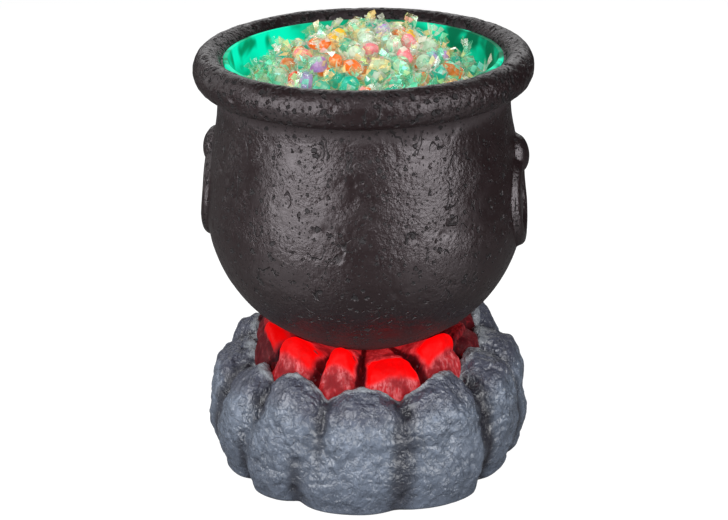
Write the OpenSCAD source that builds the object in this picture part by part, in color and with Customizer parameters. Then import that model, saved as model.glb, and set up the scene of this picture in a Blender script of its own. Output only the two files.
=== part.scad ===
// Light-up witch's cauldron: a pot of sweets on a ring of stones with glowing embers.
// Millimetres, +Z up, origin on the table under the centre of the pot.
// +X points to the right handle ring and -Y to the front.

/* [Pot] */
// Greatest outside radius of the belly
belly_r = 162; // [160:0.5:163]
// Height of the widest part of the belly above the table
belly_z = 269; // [266:1:272]
// Outside radius of the neck, under the rolled rim
neck_r = 142; // [141:0.5:143]
// Height of the pot's flat underside above the table
pot_floor_z = 130; // [129.5:0.5:130.5]
// Wall thickness of the pot
pot_wall = 2.5; // [2:0.1:2.8]

/* [Rim] */
// Radius of the middle of the rolled rim
rim_r = 155; // [154.5:0.5:156]
// Height of the middle of the rolled rim
rim_z = 419.5; // [419:0.5:420]
// Half of the rolled rim's width
rim_half_w = 15; // [14.5:0.5:15.5]
// Half of the rolled rim's height
rim_half_h = 18.5; // [18:0.5:19]

/* [Handle rings] */
// Radius of the middle of each moulded handle ring
ring_r = 42; // [38:1:44]
// Radius of the ring's own bar
ring_bar_r = 8; // [6:0.5:8]
// Height of the middle of each ring
ring_z = 285; // [280:1:288]

/* [Bowl] */
// Height of the underside of the sweet bowl
bowl_floor_z = 320; // [300:1:335]
// Wall thickness of the sweet bowl
bowl_wall = 2.2; // [1.6:0.1:2.6]
// Taper of the bowl's side
bowl_taper = 12; // [6:1:14]

/* [Stone ring] */
// Height of the stones' lower edge above the table
stone_foot_z = 1.5; // [1:0.5:2]
// Wall thickness of the stones
stone_wall = 3; // [2.5:0.5:3]

/* [Switch] */
// Travel of the power switch from on to off
switch_travel = 4; // [3:0.5:4.5]

/* [Hidden] */
$fn = 48;

// Pot profile: a quarter ellipse below the belly, cut off flat, and a power curve up to the neck.
ellipse_bottom_z = 124.5;
shoulder_power = 1.3;
neck_z = 400;
profile_steps = 14;

// The rolled rim is hollow and open to the inside. Its inner edge is a ledge for the bowl's lip.
rim_wall = 3;
bowl_ledge_z = 427;
bowl_ledge_r = 137;
ledge_t = 2.5;
ledge_skirt_z = 416;

// Bowl.
bowl_lip_r = 139.4;
bowl_lip_h = 2.5;
bowl_lip_gap = 0.2;
bowl_mouth_r = 136.4;
bowl_corner_r = 25;

// Support column between the base plate and the pot.
plate_z = 3.5;
plate_t = 2.5;
plate_top = plate_z + plate_t;
column_r = 32;
column_wall = 3;
column_flange_r = 46;
column_flange_t = 4;
column_top = pot_floor_z;
column_screw_r = 41;
wire_hole_r = 18;
wire_window_z = 22;
wire_window_r = 6;
pot_screw_r = 38;

// Inner frame, which carries the stones, the embers and the red lamps.
frame_z = 94;
frame_t = 3;
frame_in_r = 100;
frame_out_r = 134;
post_ring_r = 122;
post_r = 5;
post_count = 6;
pilot_r = 1.5;
screw_r = 1.4;
head_r = 3.2;
head_h = 1.4;

// Ember lamps.
ember_board_z = frame_z - 1.7;
board_t = 1.6;
ember_board_in_r = 80;
ember_board_out_r = 107;
ember_led_ring_r = 90;
ember_led_count = 8;
ember_board_screw_ring_r = 103.5;
led_r = 2.5;
led_body_h = 5.5;

// Bowl lamps.
lamp_floor_z = pot_floor_z + pot_wall;
lamp_cup_r = 30;
lamp_cup_h = 15;
lamp_flange_r = 46;
lamp_board_z = lamp_floor_z + 2 + lamp_cup_h;
green_led_ring_r = 18;
green_led_count = 5;
lamp_screw_r = 24.5;

// Base plate and battery box. The box lies behind the column with its cells along X.
plate_r = 143.5;
cell_r = 7.1;
cell_len = 49;
cell_pitch = 15.2;
cell_axis_z = 14;
cell_shift = -1.8;
button_r = 2.7;
button_len = 1.4;
contact_t = 0.5;
contact_x = 29.4;
spring_r = 3.2;
spring_wire_r = 0.45;
spring_turns = 3;
box_mid_y = 96;
box_half_x = 30;
box_half_y = 24.8;
box_wall = 2;
box_roof_z = 22;
door_t = 2;
hinge_y = box_mid_y - box_half_y + 1.6;
hinge_z = 4.7;
hinge_nose_r = 1;
hinge_pin_r = 0.8;
hinge_bore_r = 0.88;
hinge_pin_len = 1.6;
door_gap = 0.4;
door_screw_y = box_mid_y + box_half_y - 4.5;
foot_r = 9;
foot_ring_r = 132;
foot_angles = [45, 135, 225, 315];
foot_recess = 0.5;
plate_rim_h = 9;
switch_screw_x = 13;

// Switch and control board, on the base plate.
switch_pos = [64, 46];
switch_len = 20;
switch_w = 8;
switch_h = 8;
knob_len = 5;
knob_w = 3.6;
board_pos = [-88, -8];
board_size = [40, 56];
board_z = plate_top + 6;
board_hole = [15, 23];
wire_r = 0.9;
core_gap = 1.05;

// Angles of the creases between stones, and how far each leans round by the time it reaches the foot.
stone_creases = [24, 54, 85, 115, 145, 175, 207, 231, 261, 292, 329, 354];
stone_leans = [2, -3, 3, -2, 3, -3, -2, -5, -9, -3, -2, -3];
// Crest height and foot radius of the stone after each crease, and the foot radius in the crease.
stone_crests = [130, 124, 120, 126, 122, 122, 119, 129, 121, 126, 128, 121];
stone_feet = [161, 164, 159, 163, 160, 160, 160, 164.5, 168.5, 168, 156, 161];
stone_crease_feet = [154, 152, 154, 151, 153, 156, 155, 150, 155, 160, 149, 151];
stone_crease_crest = 108;
stone_lip_z = 100;
stone_steps = 96;

// Angles of the creases between ember lumps, and how far the lump after each crease stays below
// the tallest one.
ember_creases = [11, 41, 72, 102, 131, 160, 189, 218, 251, 276, 311, 341];
ember_drops = [4, 0, 6, 1, 7, 2, 5, 1, 0, 10, 0, 8];
ember_in_r = column_flange_r + 1.5;
ember_in_z = pot_floor_z - 0.8;
ember_wall = 2.4;
ember_steps = 80;

// ---------- helpers ----------

function lerp(a, b, t) = a + (b - a) * t;
function polar(r, a) = [r * cos(a), r * sin(a)];
function unit(v) = v / norm(v);
function arc(centre, rx, rz, a0, a1, steps) =
    [for (i = [0:steps]) let (a = lerp(a0, a1, i / steps)) centre + [rx * cos(a), rz * sin(a)]];

// Index of the crease that angle a follows, in a sorted list, wrapping round at 360.
function crease_before(creases, a) =
    let (below = [for (i = [0:len(creases) - 1]) if (creases[i] <= a) i])
    len(below) > 0 ? below[len(below) - 1] : len(creases) - 1;
// How far angle a lies across its lump, from -1 at one crease to 1 at the next.
function across(creases, a) =
    let (
        i = crease_before(creases, a),
        lo = creases[i],
        next = creases[(i + 1) % len(creases)],
        width = (next - lo + 360) % 360,
        past = (a - lo + 360) % 360
    )
    2 * past / width - 1;
// Roundness of a lump: 0 in its creases and 1 along its middle.
function bulge(creases, a) = sqrt(max(0, 1 - pow(abs(across(creases, a)), 2.4)));

// A ring whose section changes with the angle. section(a) is a closed loop of [radius, height] points.
module lofted_ring(loops) {
    n = len(loops);
    m = len(loops[0]);
    points = [
        for (i = [0:n - 1]) let (a = 360 * i / n)
        for (p = loops[i]) [p[0] * cos(a), p[0] * sin(a), p[1]]
    ];
    faces = [
        for (i = [0:n - 1], j = [0:m - 1])
        let (
            k = (i + 1) % n, l = (j + 1) % m,
            a = i * m + j, b = i * m + l, c = k * m + l, d = k * m + j
        )
        each [[a, b, c], [a, c, d]]
    ];
    polyhedron(points, faces, convexity = 8);
}

// A smooth path through a few points.
function spline(p0, p1, p2, p3, t) = 0.5 * (
    2 * p1 + (p2 - p0) * t + (2 * p0 - 5 * p1 + 4 * p2 - p3) * t * t
    + (3 * p1 - p0 - 3 * p2 + p3) * t * t * t
);
function smooth_path(p, n) = concat(
    [for (i = [0:len(p) - 2], j = [0:n - 1])
        spline(p[max(i - 1, 0)], p[i], p[i + 1], p[min(i + 2, len(p) - 1)], j / n)],
    [p[len(p) - 1]]
);

// Directions along a path, and across it. The reference direction is one that the path never follows.
function along(path, i) = unit(path[min(i + 1, len(path) - 1)] - path[max(i - 1, 0)]);
function sideways(path, i, reference) = unit(cross(along(path, i), reference));

// A round tube along a path.
module tube(path, r, sides, reference) {
    n = len(path);
    points = [
        for (i = [0:n - 1])
        let (u = sideways(path, i, reference), v = cross(along(path, i), u))
        for (j = [0:sides - 1]) path[i] + r * (u * cos(360 * j / sides) + v * sin(360 * j / sides))
    ];
    walls = [
        for (i = [0:n - 2], j = [0:sides - 1])
        let (k = (j + 1) % sides)
        each [
            [i * sides + j, (i + 1) * sides + j, (i + 1) * sides + k],
            [i * sides + j, (i + 1) * sides + k, i * sides + k]
        ]
    ];
    caps = [
        [for (j = [0:sides - 1]) j],
        [for (j = [sides - 1:-1:0]) (n - 1) * sides + j]
    ];
    polyhedron(points, concat(walls, caps), convexity = 6);
}

// Copies of a child spread evenly round a circle.
module around(count, radius, first = 0) {
    for (i = [0:count - 1]) rotate(first + i * 360 / count) translate([radius, 0, 0]) children();
}

// A pan-head screw whose head sits below z = 0 and whose shank rises above it.
module screw_up(shank) {
    translate([0, 0, -head_h]) cylinder(r = head_r, h = head_h);
    cylinder(r = screw_r, h = shank);
}

// A pan-head screw whose head sits above z = 0 and whose shank goes down.
module screw_down(shank) {
    cylinder(r = head_r, h = head_h);
    translate([0, 0, -shank]) cylinder(r = screw_r, h = shank);
}

// A smaller screw of the same kind, for the boards and the switch.
module small_screw(shank) {
    cylinder(r = 2.2, h = 1.2);
    translate([0, 0, -shank]) cylinder(r = 1.1, h = shank);
}

// A 5 mm lamp with a flange and a domed top, standing on z = 0.
module led() {
    cylinder(r = led_r + 0.4, h = 1);
    cylinder(r = led_r, h = led_body_h);
    translate([0, 0, led_body_h]) intersection() {
        sphere(r = led_r);
        cylinder(r = led_r + 1, h = led_r + 1);
    }
}

// ---------- pot ----------

function pot_r(z) = z < belly_z
    ? belly_r * sqrt(1 - pow((belly_z - z) / (belly_z - ellipse_bottom_z), 2))
    : belly_r - (belly_r - neck_r) * pow(min(1, (z - belly_z) / (neck_z - belly_z)), shoulder_power);

// Heights of the profile's points, closer together near the floor where the pot curves most.
pot_heights = concat(
    [for (i = [0:profile_steps]) lerp(pot_floor_z, belly_z, pow(i / profile_steps, 1.5))],
    [for (i = [1:profile_steps]) lerp(belly_z, neck_z, i / profile_steps)]
);

// The pot's wall and its rolled rim, as one section turned about the axis.
module pot_shell() {
    mid = [rim_r, rim_z];
    in_w = rim_half_w - rim_wall;
    in_h = rim_half_h - rim_wall;
    crevice_a = acos((neck_r - rim_r) / rim_half_w);
    ledge_a = 180 - asin((bowl_ledge_z - rim_z) / rim_half_h);
    hollow_a = 180 - asin((bowl_ledge_z - ledge_t - rim_z) / in_h);
    skirt_r = bowl_ledge_r + ledge_t;
    crevice_z = rim_z - rim_half_h * sin(crevice_a);
    rotate_extrude() polygon(concat(
        [[0, pot_floor_z]],
        [for (z = pot_heights) [pot_r(z), z]],
        arc(mid, rim_half_w, rim_half_h, -crevice_a, ledge_a, 28),
        [[bowl_ledge_r, bowl_ledge_z], [bowl_ledge_r, ledge_skirt_z]],
        [[skirt_r, ledge_skirt_z], [skirt_r, bowl_ledge_z - ledge_t]],
        arc(mid, in_w, in_h, hollow_a, -crevice_a, 24),
        [[neck_r - 1, crevice_z + rim_wall], [neck_r - pot_wall, crevice_z - 2]],
        [for (i = [len(pot_heights) - 1:-1:0]) if (pot_heights[i] > lamp_floor_z + 2)
            [pot_r(pot_heights[i] - 1) - pot_wall, pot_heights[i]]],
        [[pot_r(lamp_floor_z) - pot_wall - 1, lamp_floor_z], [0, lamp_floor_z]]
    ));
}

// A handle ring in relief, hanging from a domed bracket.
module handle_ring() {
    translate([belly_r - 3.6, 0, ring_z]) rotate([0, 86, 0])
        rotate_extrude() translate([ring_r, 0]) circle(r = ring_bar_r);
    translate([pot_r(ring_z + ring_r) - 8, 0, ring_z + ring_r + 9]) rotate([0, 90, 0])
        rotate_extrude() polygon(concat([[0, 0]], arc([0, 6], 15, 13, 0, 90, 6)));
}

// Everything outside the pot's inner surface, to trim the handle rings' backs.
module pot_core() {
    rotate_extrude() polygon(concat(
        [[0, lamp_floor_z]],
        [for (z = pot_heights) if (z > lamp_floor_z + 2) [pot_r(z - 1) - pot_wall + 0.6, z]],
        [[0, neck_z]]
    ));
}

module cauldron_pot() {
    color("#2b2728") difference() {
        union() {
            pot_shell();
            difference() {
                union() {
                    handle_ring();
                    rotate(180) handle_ring();
                }
                pot_core();
            }
        }
        translate([0, 0, pot_floor_z - 1]) cylinder(r = wire_hole_r, h = pot_wall + 2);
        around(3, pot_screw_r, 30) translate([0, 0, pot_floor_z - 1]) cylinder(r = 1.7, h = pot_wall + 2);
    }
}

// ---------- sweet bowl ----------

module candy_bowl() {
    lip_z = bowl_ledge_z + bowl_lip_gap;
    corner_z = bowl_floor_z + bowl_corner_r;
    side_run = (lip_z - corner_z + bowl_corner_r * sin(bowl_taper)) * tan(bowl_taper);
    corner = [bowl_mouth_r - side_run - bowl_corner_r * cos(bowl_taper), corner_z];
    inner_r = bowl_corner_r - bowl_wall;
    mouth_in_r = bowl_mouth_r - bowl_wall / cos(bowl_taper);
    color("#39e29a", 0.6) rotate_extrude() polygon(concat(
        [[0, bowl_floor_z]],
        arc(corner, bowl_corner_r, bowl_corner_r, -90, -bowl_taper, 8),
        [[bowl_mouth_r, lip_z], [bowl_lip_r, lip_z]],
        arc([bowl_lip_r - bowl_lip_h / 2, lip_z + bowl_lip_h / 2], bowl_lip_h / 2, bowl_lip_h / 2, 0, 90, 4),
        [[mouth_in_r + 0.5, lip_z + bowl_lip_h]],
        arc(corner, inner_r, inner_r, -bowl_taper, -90, 8),
        [[0, bowl_floor_z + bowl_wall]]
    ));
}

// ---------- lamps inside the pot ----------

module lamp_holder() {
    color("white") translate([0, 0, lamp_floor_z]) difference() {
        union() {
            cylinder(r = lamp_flange_r, h = 2);
            cylinder(r = lamp_cup_r, h = lamp_cup_h + 2);
        }
        translate([0, 0, -1]) cylinder(r = lamp_cup_r - 2, h = lamp_cup_h + 1);
        translate([0, 0, -1]) cylinder(r = 8, h = lamp_cup_h + 5);
        around(3, pot_screw_r, 30) translate([0, 0, -1]) cylinder(r = 1.7, h = 5);
        around(2, lamp_screw_r) translate([0, 0, lamp_cup_h - 1]) cylinder(r = 1.2, h = 5);
    }
}

module bowl_light_board() {
    color("#1f6b3a") translate([0, 0, lamp_board_z]) difference() {
        cylinder(r = 28, h = board_t);
        translate([0, 0, -1]) cylinder(r = 3.5, h = 4);
        around(2, lamp_screw_r) translate([0, 0, -1]) cylinder(r = 1.2, h = 4);
    }
}

module green_leds() {
    color("#7dffb5", 0.7) around(green_led_count, green_led_ring_r, 90)
        translate([0, 0, lamp_board_z + board_t]) led();
}

module bowl_board_screws() {
    color("silver") around(2, lamp_screw_r) translate([0, 0, lamp_board_z + board_t]) small_screw(3.4);
}

// Rubber grommet in the pot's wire hole.
module wire_grommet() {
    color("#222222") rotate_extrude() polygon([
        [9, pot_floor_z + 0.2], [wire_hole_r - 0.2, pot_floor_z + 0.2],
        [wire_hole_r - 0.2, lamp_floor_z + 0.1], [wire_hole_r + 3, lamp_floor_z + 0.1],
        [wire_hole_r + 3, lamp_floor_z + 1.8], [9, lamp_floor_z + 1.8]
    ]);
}

module pot_screws() {
    color("silver") around(3, pot_screw_r, 30) translate([0, 0, lamp_floor_z + 2]) screw_down(14);
}

// ---------- support column ----------

module support_column() {
    boss_r = 4.5;
    color("#3a3a3c") difference() {
        union() {
            translate([0, 0, plate_top]) cylinder(r = column_flange_r, h = 3);
            translate([0, 0, plate_top]) cylinder(r = column_r, h = column_top - plate_top);
            translate([0, 0, column_top - column_flange_t])
                cylinder(r = column_flange_r, h = column_flange_t);
            around(3, pot_screw_r, 30) translate([0, 0, column_top - 18]) cylinder(r = boss_r, h = 18);
            around(3, column_screw_r, 90) translate([0, 0, plate_top]) cylinder(r = boss_r, h = 12);
        }
        translate([0, 0, plate_top - 1]) cylinder(r = column_r - column_wall, h = column_top);
        around(3, pot_screw_r, 30) translate([0, 0, column_top - 14]) cylinder(r = pilot_r, h = 20);
        around(3, column_screw_r, 90) translate([0, 0, plate_top - 1]) cylinder(r = pilot_r, h = 11);
        translate([-column_r - 6, 0, wire_window_z]) rotate([0, 90, 0]) cylinder(r = wire_window_r, h = 16);
    }
}

module column_screws() {
    color("silver") around(3, column_screw_r, 90) translate([0, 0, plate_z]) screw_up(10);
}

// ---------- stones and embers ----------

// The creases lean, so a stone's bulge at a given share of the way down has creases of its own.
function leaning_creases(share) =
    [for (i = [0:len(stone_creases) - 1]) stone_creases[i] + share * stone_leans[i]];
function leaning_bulge(a, share) = bulge(leaning_creases(share), a);

// Radius of the stones where they meet the ground, at angle a.
function stone_foot(a) =
    let (
        creases = leaning_creases(1),
        i = crease_before(creases, a),
        past = (across(creases, a) + 1) / 2,
        in_crease = lerp(stone_crease_feet[i], stone_crease_feet[(i + 1) % len(creases)], past)
    )
    lerp(in_crease, stone_feet[i], bulge(creases, a));

// Section of the stone wall at angle a, as a closed loop of [radius, height] points.
function stone_section(a) =
    let (
        b = bulge(stone_creases, a),
        top = stone_crests[crease_before(stone_creases, a)],
        h = lerp(stone_crease_crest, top, b),
        foot = stone_foot(a),
        belly = 158 + 9 * leaning_bulge(a, 0.5),
        low = (foot + belly) / 2 + 2,
        outside = [
            [foot - 2, stone_foot_z], [foot, 8], [low, 27], [belly, 50], [155 + 9.5 * b, 75],
            [150 + 9 * b, h - 22], [143.5 + 8.5 * b, h - 10], [138 + 6.5 * b, h - 2.5], [133.5 + 3 * b, h]
        ],
        lip = [[129.5 + b, h - 3], [128.5, stone_lip_z], [128.5 + stone_wall, stone_lip_z]],
        t = stone_wall,
        inside = [
            [133.5 + 2.5 * b, h - 1.3 * t], [143.5 + 8.5 * b - t, h - 10 - 0.6 * t],
            [150 + 9 * b - t, h - 22], [155 + 9.5 * b - t, 75], [belly - t, 50],
            [low - t, 27], [foot - t, 8], [foot - 2 - t, stone_foot_z]
        ]
    )
    concat(outside, lip, inside);

module stone_ring() {
    color("#6d7580") lofted_ring([for (i = [0:stone_steps - 1]) stone_section(360 * i / stone_steps)]);
}

// Section of the ember shell at angle a. Each row is a point in a crease, the same point on a lump,
// and the way in to the underside.
function ember_section(a) =
    let (
        b = bulge(ember_creases, a),
        drop = ember_drops[crease_before(ember_creases, a)],
        rows = [
            [[126, 103], [126.5, 107], [-1, -0.4]],
            [[120, 110], [124.5, 121], [-1, -0.4]],
            [[111, 116], [119, 135], [-0.9, -0.6]],
            [[102, 121], [110.5, 147.5 - 0.7 * drop], [-0.6, -0.9]],
            [[93, 124.5], [101, 153 - drop], [-0.3, -1]],
            [[85, 126.5], [91, 148 - drop], [0.2, -1]],
            [[76, 128], [80, 142 - 0.9 * drop], [0.4, -1]],
            [[67, 128.5], [68, 136.5 - 0.7 * drop], [0.4, -1]],
            [[58, 129], [58, 131.5 - 0.2 * drop], [0.3, -1]]
        ],
        skin = [for (r = rows) lerp(r[0], r[1], b)],
        flange_z = frame_z + frame_t + 0.2
    )
    concat(
        [[134.3, flange_z], [134.3, flange_z + 2.5], [127.5, flange_z + 2.5]],
        skin,
        [[ember_in_r, ember_in_z], [ember_in_r, ember_in_z - ember_wall]],
        [for (i = [len(rows) - 1:-1:0]) skin[i] + ember_wall * rows[i][2]],
        [[124.5, flange_z]]
    );

module ember_insert() {
    color("#c8102e", 0.8) lofted_ring([for (i = [0:ember_steps - 1]) ember_section(360 * i / ember_steps)]);
}

module inner_frame() {
    color("white") difference() {
        union() {
            translate([0, 0, frame_z]) cylinder(r = frame_out_r, h = frame_t);
            around(post_count, post_ring_r) translate([0, 0, plate_top])
                cylinder(r = post_r, h = frame_z - plate_top + 1);
        }
        translate([0, 0, frame_z - 1]) cylinder(r = frame_in_r, h = frame_t + 2);
        around(post_count, post_ring_r) translate([0, 0, plate_top - 1]) cylinder(r = pilot_r, h = 16);
        around(4, ember_board_screw_ring_r, 45) translate([0, 0, frame_z - 1])
            cylinder(r = 1.2, h = frame_t + 2);
    }
}

module ember_light_board() {
    color("#1f6b3a") translate([0, 0, ember_board_z]) difference() {
        cylinder(r = ember_board_out_r, h = board_t);
        translate([0, 0, -1]) cylinder(r = ember_board_in_r, h = 4);
        around(4, ember_board_screw_ring_r, 45) translate([0, 0, -1]) cylinder(r = 1.2, h = 4);
    }
}

module red_leds() {
    color("#ff3a2a", 0.7) around(ember_led_count, ember_led_ring_r, 22.5)
        translate([0, 0, ember_board_z + board_t]) led();
}

module ember_board_screws() {
    color("silver") around(4, ember_board_screw_ring_r, 45) translate([0, 0, ember_board_z]) {
        translate([0, 0, -1.2]) cylinder(r = 2.2, h = 1.2);
        cylinder(r = 1.1, h = 4.2);
    }
}

// ---------- base plate ----------

module at_board_holes() {
    for (x = [-1, 1], y = [-1, 1])
        translate([board_pos[0] + x * board_hole[0], board_pos[1] + y * board_hole[1], 0]) children();
}

module at_switch_screws() {
    for (x = [-1, 1]) translate([switch_pos[0] + x * switch_screw_x, switch_pos[1], 0]) children();
}

module at_feet() {
    for (a = foot_angles) translate(polar(foot_ring_r, a)) children();
}

module base_plate() {
    outer_x = box_half_x + box_wall;
    outer_y = box_half_y + box_wall;
    slot_len = knob_len + switch_travel + 3;
    boss_z = plate_z + door_t + 0.6;
    color("#2a2a2c") {
        difference() {
            union() {
                translate([0, 0, plate_z]) cylinder(r = plate_r, h = plate_t);
                translate([0, 0, plate_z]) difference() {
                    cylinder(r = plate_r, h = plate_rim_h);
                    translate([0, 0, -1]) cylinder(r = plate_r - 2, h = plate_rim_h + 2);
                }
                translate([-outer_x, box_mid_y - outer_y, plate_z])
                    cube([2 * outer_x, 2 * outer_y, box_roof_z + box_wall - plate_z]);
                at_board_holes() translate([0, 0, plate_z]) cylinder(r = 3, h = board_z - plate_z);
            }
            // Inside of the battery box, open at the door.
            translate([-box_half_x, box_mid_y - box_half_y, plate_z - 1])
                cube([2 * box_half_x, 2 * box_half_y, box_roof_z - plate_z + 1]);
            // Pivot holes of the door.
            translate([-outer_x + 0.1, hinge_y, hinge_z]) rotate([0, 90, 0])
                cylinder(r = hinge_bore_r, h = 2 * outer_x - 0.2);
            // Slot for the switch's knob, and its screw holes.
            translate([switch_pos[0] - slot_len / 2, switch_pos[1] - knob_w / 2 - 0.6, plate_z - 1])
                cube([slot_len, knob_w + 1.2, plate_t + 2]);
            at_switch_screws() translate([0, 0, plate_z - 1]) cylinder(r = 1.2, h = plate_t + 2);
            around(post_count, post_ring_r) translate([0, 0, plate_z - 1]) cylinder(r = 1.7, h = plate_t + 2);
            around(3, column_screw_r, 90) translate([0, 0, plate_z - 1]) cylinder(r = 1.7, h = plate_t + 2);
            at_board_holes() translate([0, 0, plate_top - 1]) cylinder(r = 1.2, h = board_z);
            at_feet() translate([0, 0, plate_z - 1]) cylinder(r = foot_r + 0.1, h = 1 + foot_recess);
        }
        // Half-round boss that the door's screw goes into.
        translate([0, door_screw_y, boss_z]) difference() {
            translate([-5, 0.4, 0]) cube([10, 4.2, 6]);
            translate([0, 0, -1]) cylinder(r = 2.2, h = 8);
        }
    }
}

module base_screws() {
    color("silver") around(post_count, post_ring_r) translate([0, 0, plate_z]) screw_up(16);
}

module rubber_feet() {
    color("#161616") at_feet() cylinder(r = foot_r, h = plate_z + foot_recess);
}

// ---------- battery door, cells and contacts ----------

module battery_door() {
    edge_x = box_half_x - door_gap;
    far_y = box_mid_y + box_half_y - door_gap;
    color("#2a2a2c") difference() {
        union() {
            translate([-edge_x, hinge_y, plate_z]) cube([2 * edge_x, far_y - hinge_y, door_t]);
            translate([-edge_x, hinge_y, hinge_z]) rotate([0, 90, 0])
                cylinder(r = hinge_nose_r, h = 2 * edge_x);
            translate([-edge_x - hinge_pin_len, hinge_y, hinge_z]) rotate([0, 90, 0])
                cylinder(r = hinge_pin_r, h = 2 * (edge_x + hinge_pin_len));
        }
        translate([0, door_screw_y, plate_z - 1]) cylinder(r = 1.6, h = door_t + 2);
    }
}

module door_screw() {
    color("silver") translate([0, door_screw_y, plate_z]) screw_up(5.2);
}

// The cells lie side by side, each the other way round from its neighbour.
module at_cell(row) {
    translate([0, box_mid_y + (row - 1) * cell_pitch + cell_shift, cell_axis_z])
        rotate([0, 0, row == 1 ? 180 : 0]) children();
}

// One AA cell along X, its button touching a contact.
button_tip = contact_x - 0.1;
cell_end = button_tip - button_len - cell_len;
module battery_cell(row) {
    at_cell(row) rotate([0, 90, 0]) {
        translate([0, 0, cell_end]) cylinder(r = cell_r, h = cell_len);
        translate([0, 0, button_tip - button_len]) cylinder(r = button_r, h = button_len);
    }
}
module battery_1() { color("#b8862b") battery_cell(0); }
module battery_2() { color("#b8862b") battery_cell(1); }
module battery_3() { color("#b8862b") battery_cell(2); }

// Coil springs from the contacts to the flat ends of the cells.
module battery_springs() {
    start = -contact_x + spring_wire_r + 0.2;
    travel = cell_end - spring_wire_r - 0.2 - start;
    per_turn = 9;
    steps = spring_turns * per_turn;
    color("silver") for (row = [0:2]) at_cell(row) tube(
        [for (i = [0:steps]) let (a = 360 * i / per_turn)
            [start + travel * i / steps, spring_r * cos(a), spring_r * sin(a)]],
        spring_wire_r, 6, [1, 0.02, 0.03]
    );
}

module battery_contacts() {
    color("silver") for (row = [0:2]) at_cell(row) for (x = [-contact_x - contact_t, contact_x])
        translate([x, -5, -4.5]) cube([contact_t, 10, 10]);
}

// ---------- switch ----------

module switch_body() {
    color("#9a9a9a") translate([switch_pos[0], switch_pos[1], plate_top]) difference() {
        union() {
            translate([-16, -switch_w / 2, 0]) cube([32, switch_w, 1]);
            translate([-switch_len / 2, -switch_w / 2, 0]) cube([switch_len, switch_w, switch_h]);
        }
        translate([-(knob_len + switch_travel) / 2 - 1, -knob_w / 2 - 0.4, -1])
            cube([knob_len + switch_travel + 2, knob_w + 0.8, 5]);
        for (x = [-1, 1]) translate([x * switch_screw_x, 0, -1]) cylinder(r = 1.3, h = 3);
    }
}

// The knob stands at its on end.
module switch_slider() {
    knob_x = switch_pos[0] + switch_travel / 2 - knob_len / 2;
    color("#111111") translate([knob_x, switch_pos[1] - knob_w / 2, 1.8])
        cube([knob_len, knob_w, plate_top + 3.6 - 1.8]);
}

module switch_screws() {
    color("silver") at_switch_screws() translate([0, 0, plate_top + 1]) small_screw(3.4);
}

// ---------- control board ----------

module control_board() {
    color("#1f6b3a") translate([0, 0, board_z]) difference() {
        translate([board_pos[0] - board_size[0] / 2, board_pos[1] - board_size[1] / 2, 0])
            cube([board_size[0], board_size[1], board_t]);
        at_board_holes() translate([0, 0, -1]) cylinder(r = 1.3, h = board_t + 2);
    }
}

module control_chip() {
    color("#151515") translate([board_pos[0] - 4, board_pos[1] - 5, board_z + board_t]) {
        translate([0, 0, 0.3]) cube([8, 10, 1.6]);
        for (side = [-0.9, 8.1], i = [0:3]) translate([side, 1 + i * 2.4, 0]) cube([0.8, 0.6, 1]);
    }
}

module board_capacitors() {
    color("#24304f") for (y = [-15, 12])
        translate([board_pos[0] + 10, board_pos[1] + y, board_z + board_t]) cylinder(r = 3.2, h = 9);
}

connector_rows = [-15, -5, 5, 15];
connector_size = 6.4;
connector_wall = 0.7;
module board_connectors() {
    color("#e8e4d8") for (y = connector_rows)
        translate([board_pos[0] - 14, board_pos[1] + y, board_z + board_t]) difference() {
            translate([-connector_size / 2, -connector_size / 2, 0])
                cube([connector_size, connector_size, 6]);
            translate([connector_wall - connector_size / 2, connector_wall - connector_size / 2, 2])
                cube([connector_size - 2 * connector_wall, connector_size - 2 * connector_wall, 5]);
        }
}

module board_screws() {
    color("silver") at_board_holes() translate([0, 0, board_z + board_t]) small_screw(6.5);
}

// ---------- wires ----------

// Middle of connector i's socket, just above its floor.
function socket(i) = [board_pos[0] - 14, board_pos[1] + connector_rows[i], board_z + board_t + 2.5];

// Two cores side by side along a route.
module wire_pair(route, colours, reference) {
    path = smooth_path(route, 4);
    for (i = [0, 1]) color(colours[i]) tube(
        [for (k = [0:len(path) - 1]) path[k] + (i * 2 - 1) * core_gap * sideways(path, k, reference)],
        wire_r, 6, reference
    );
}

module battery_wires() {
    box_end_x = -box_half_x - box_wall - 0.1;
    wire_pair([
        socket(3), socket(3) + [0, 0, 9], [-112, 26, 32], [-92, 62, 34], [-62, 90, 32],
        [-46, 97, 20], [-38, 97, 18], [box_end_x, 97, 18]
    ], ["#c0281e", "#1a1a1a"], [0.7, -0.7, 0.1]);
}

module switch_wires() {
    wire_pair([
        socket(2), socket(2) + [0, 0, 12], [-98, 18, 38], [-70, 44, 41], [-30, 58, 41], [24, 58, 38],
        [58, 49, 28], [switch_pos[0], switch_pos[1], plate_top + switch_h + 7],
        [switch_pos[0], switch_pos[1], plate_top + switch_h + 0.1]
    ], ["#c0281e", "#e0c020"], [0.1, -1, 0.1]);
}

module ember_wires() {
    wire_pair([
        socket(0), socket(0) + [0, 0, 14], [-104, -36, 50], [-97, -36, 72],
        [-93, -30, ember_board_z - 7], [-93, -30, ember_board_z - 0.1]
    ], ["#c0281e", "#1a1a1a"], [1, 0.1, 0.05]);
}

module bowl_wires() {
    wire_pair([
        socket(1), socket(1) + [0, 0, 10], [-94, -16, 32], [-70, -6, 26], [-46, 0, wire_window_z],
        [-26, 0, wire_window_z + 1], [-8, 0, 34], [0, 0, 60], [0, 0, 100], [0, 0, lamp_board_z + 0.8]
    ], ["#2fa45a", "#1a1a1a"], [0.05, 1, 0.02]);
}

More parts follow.
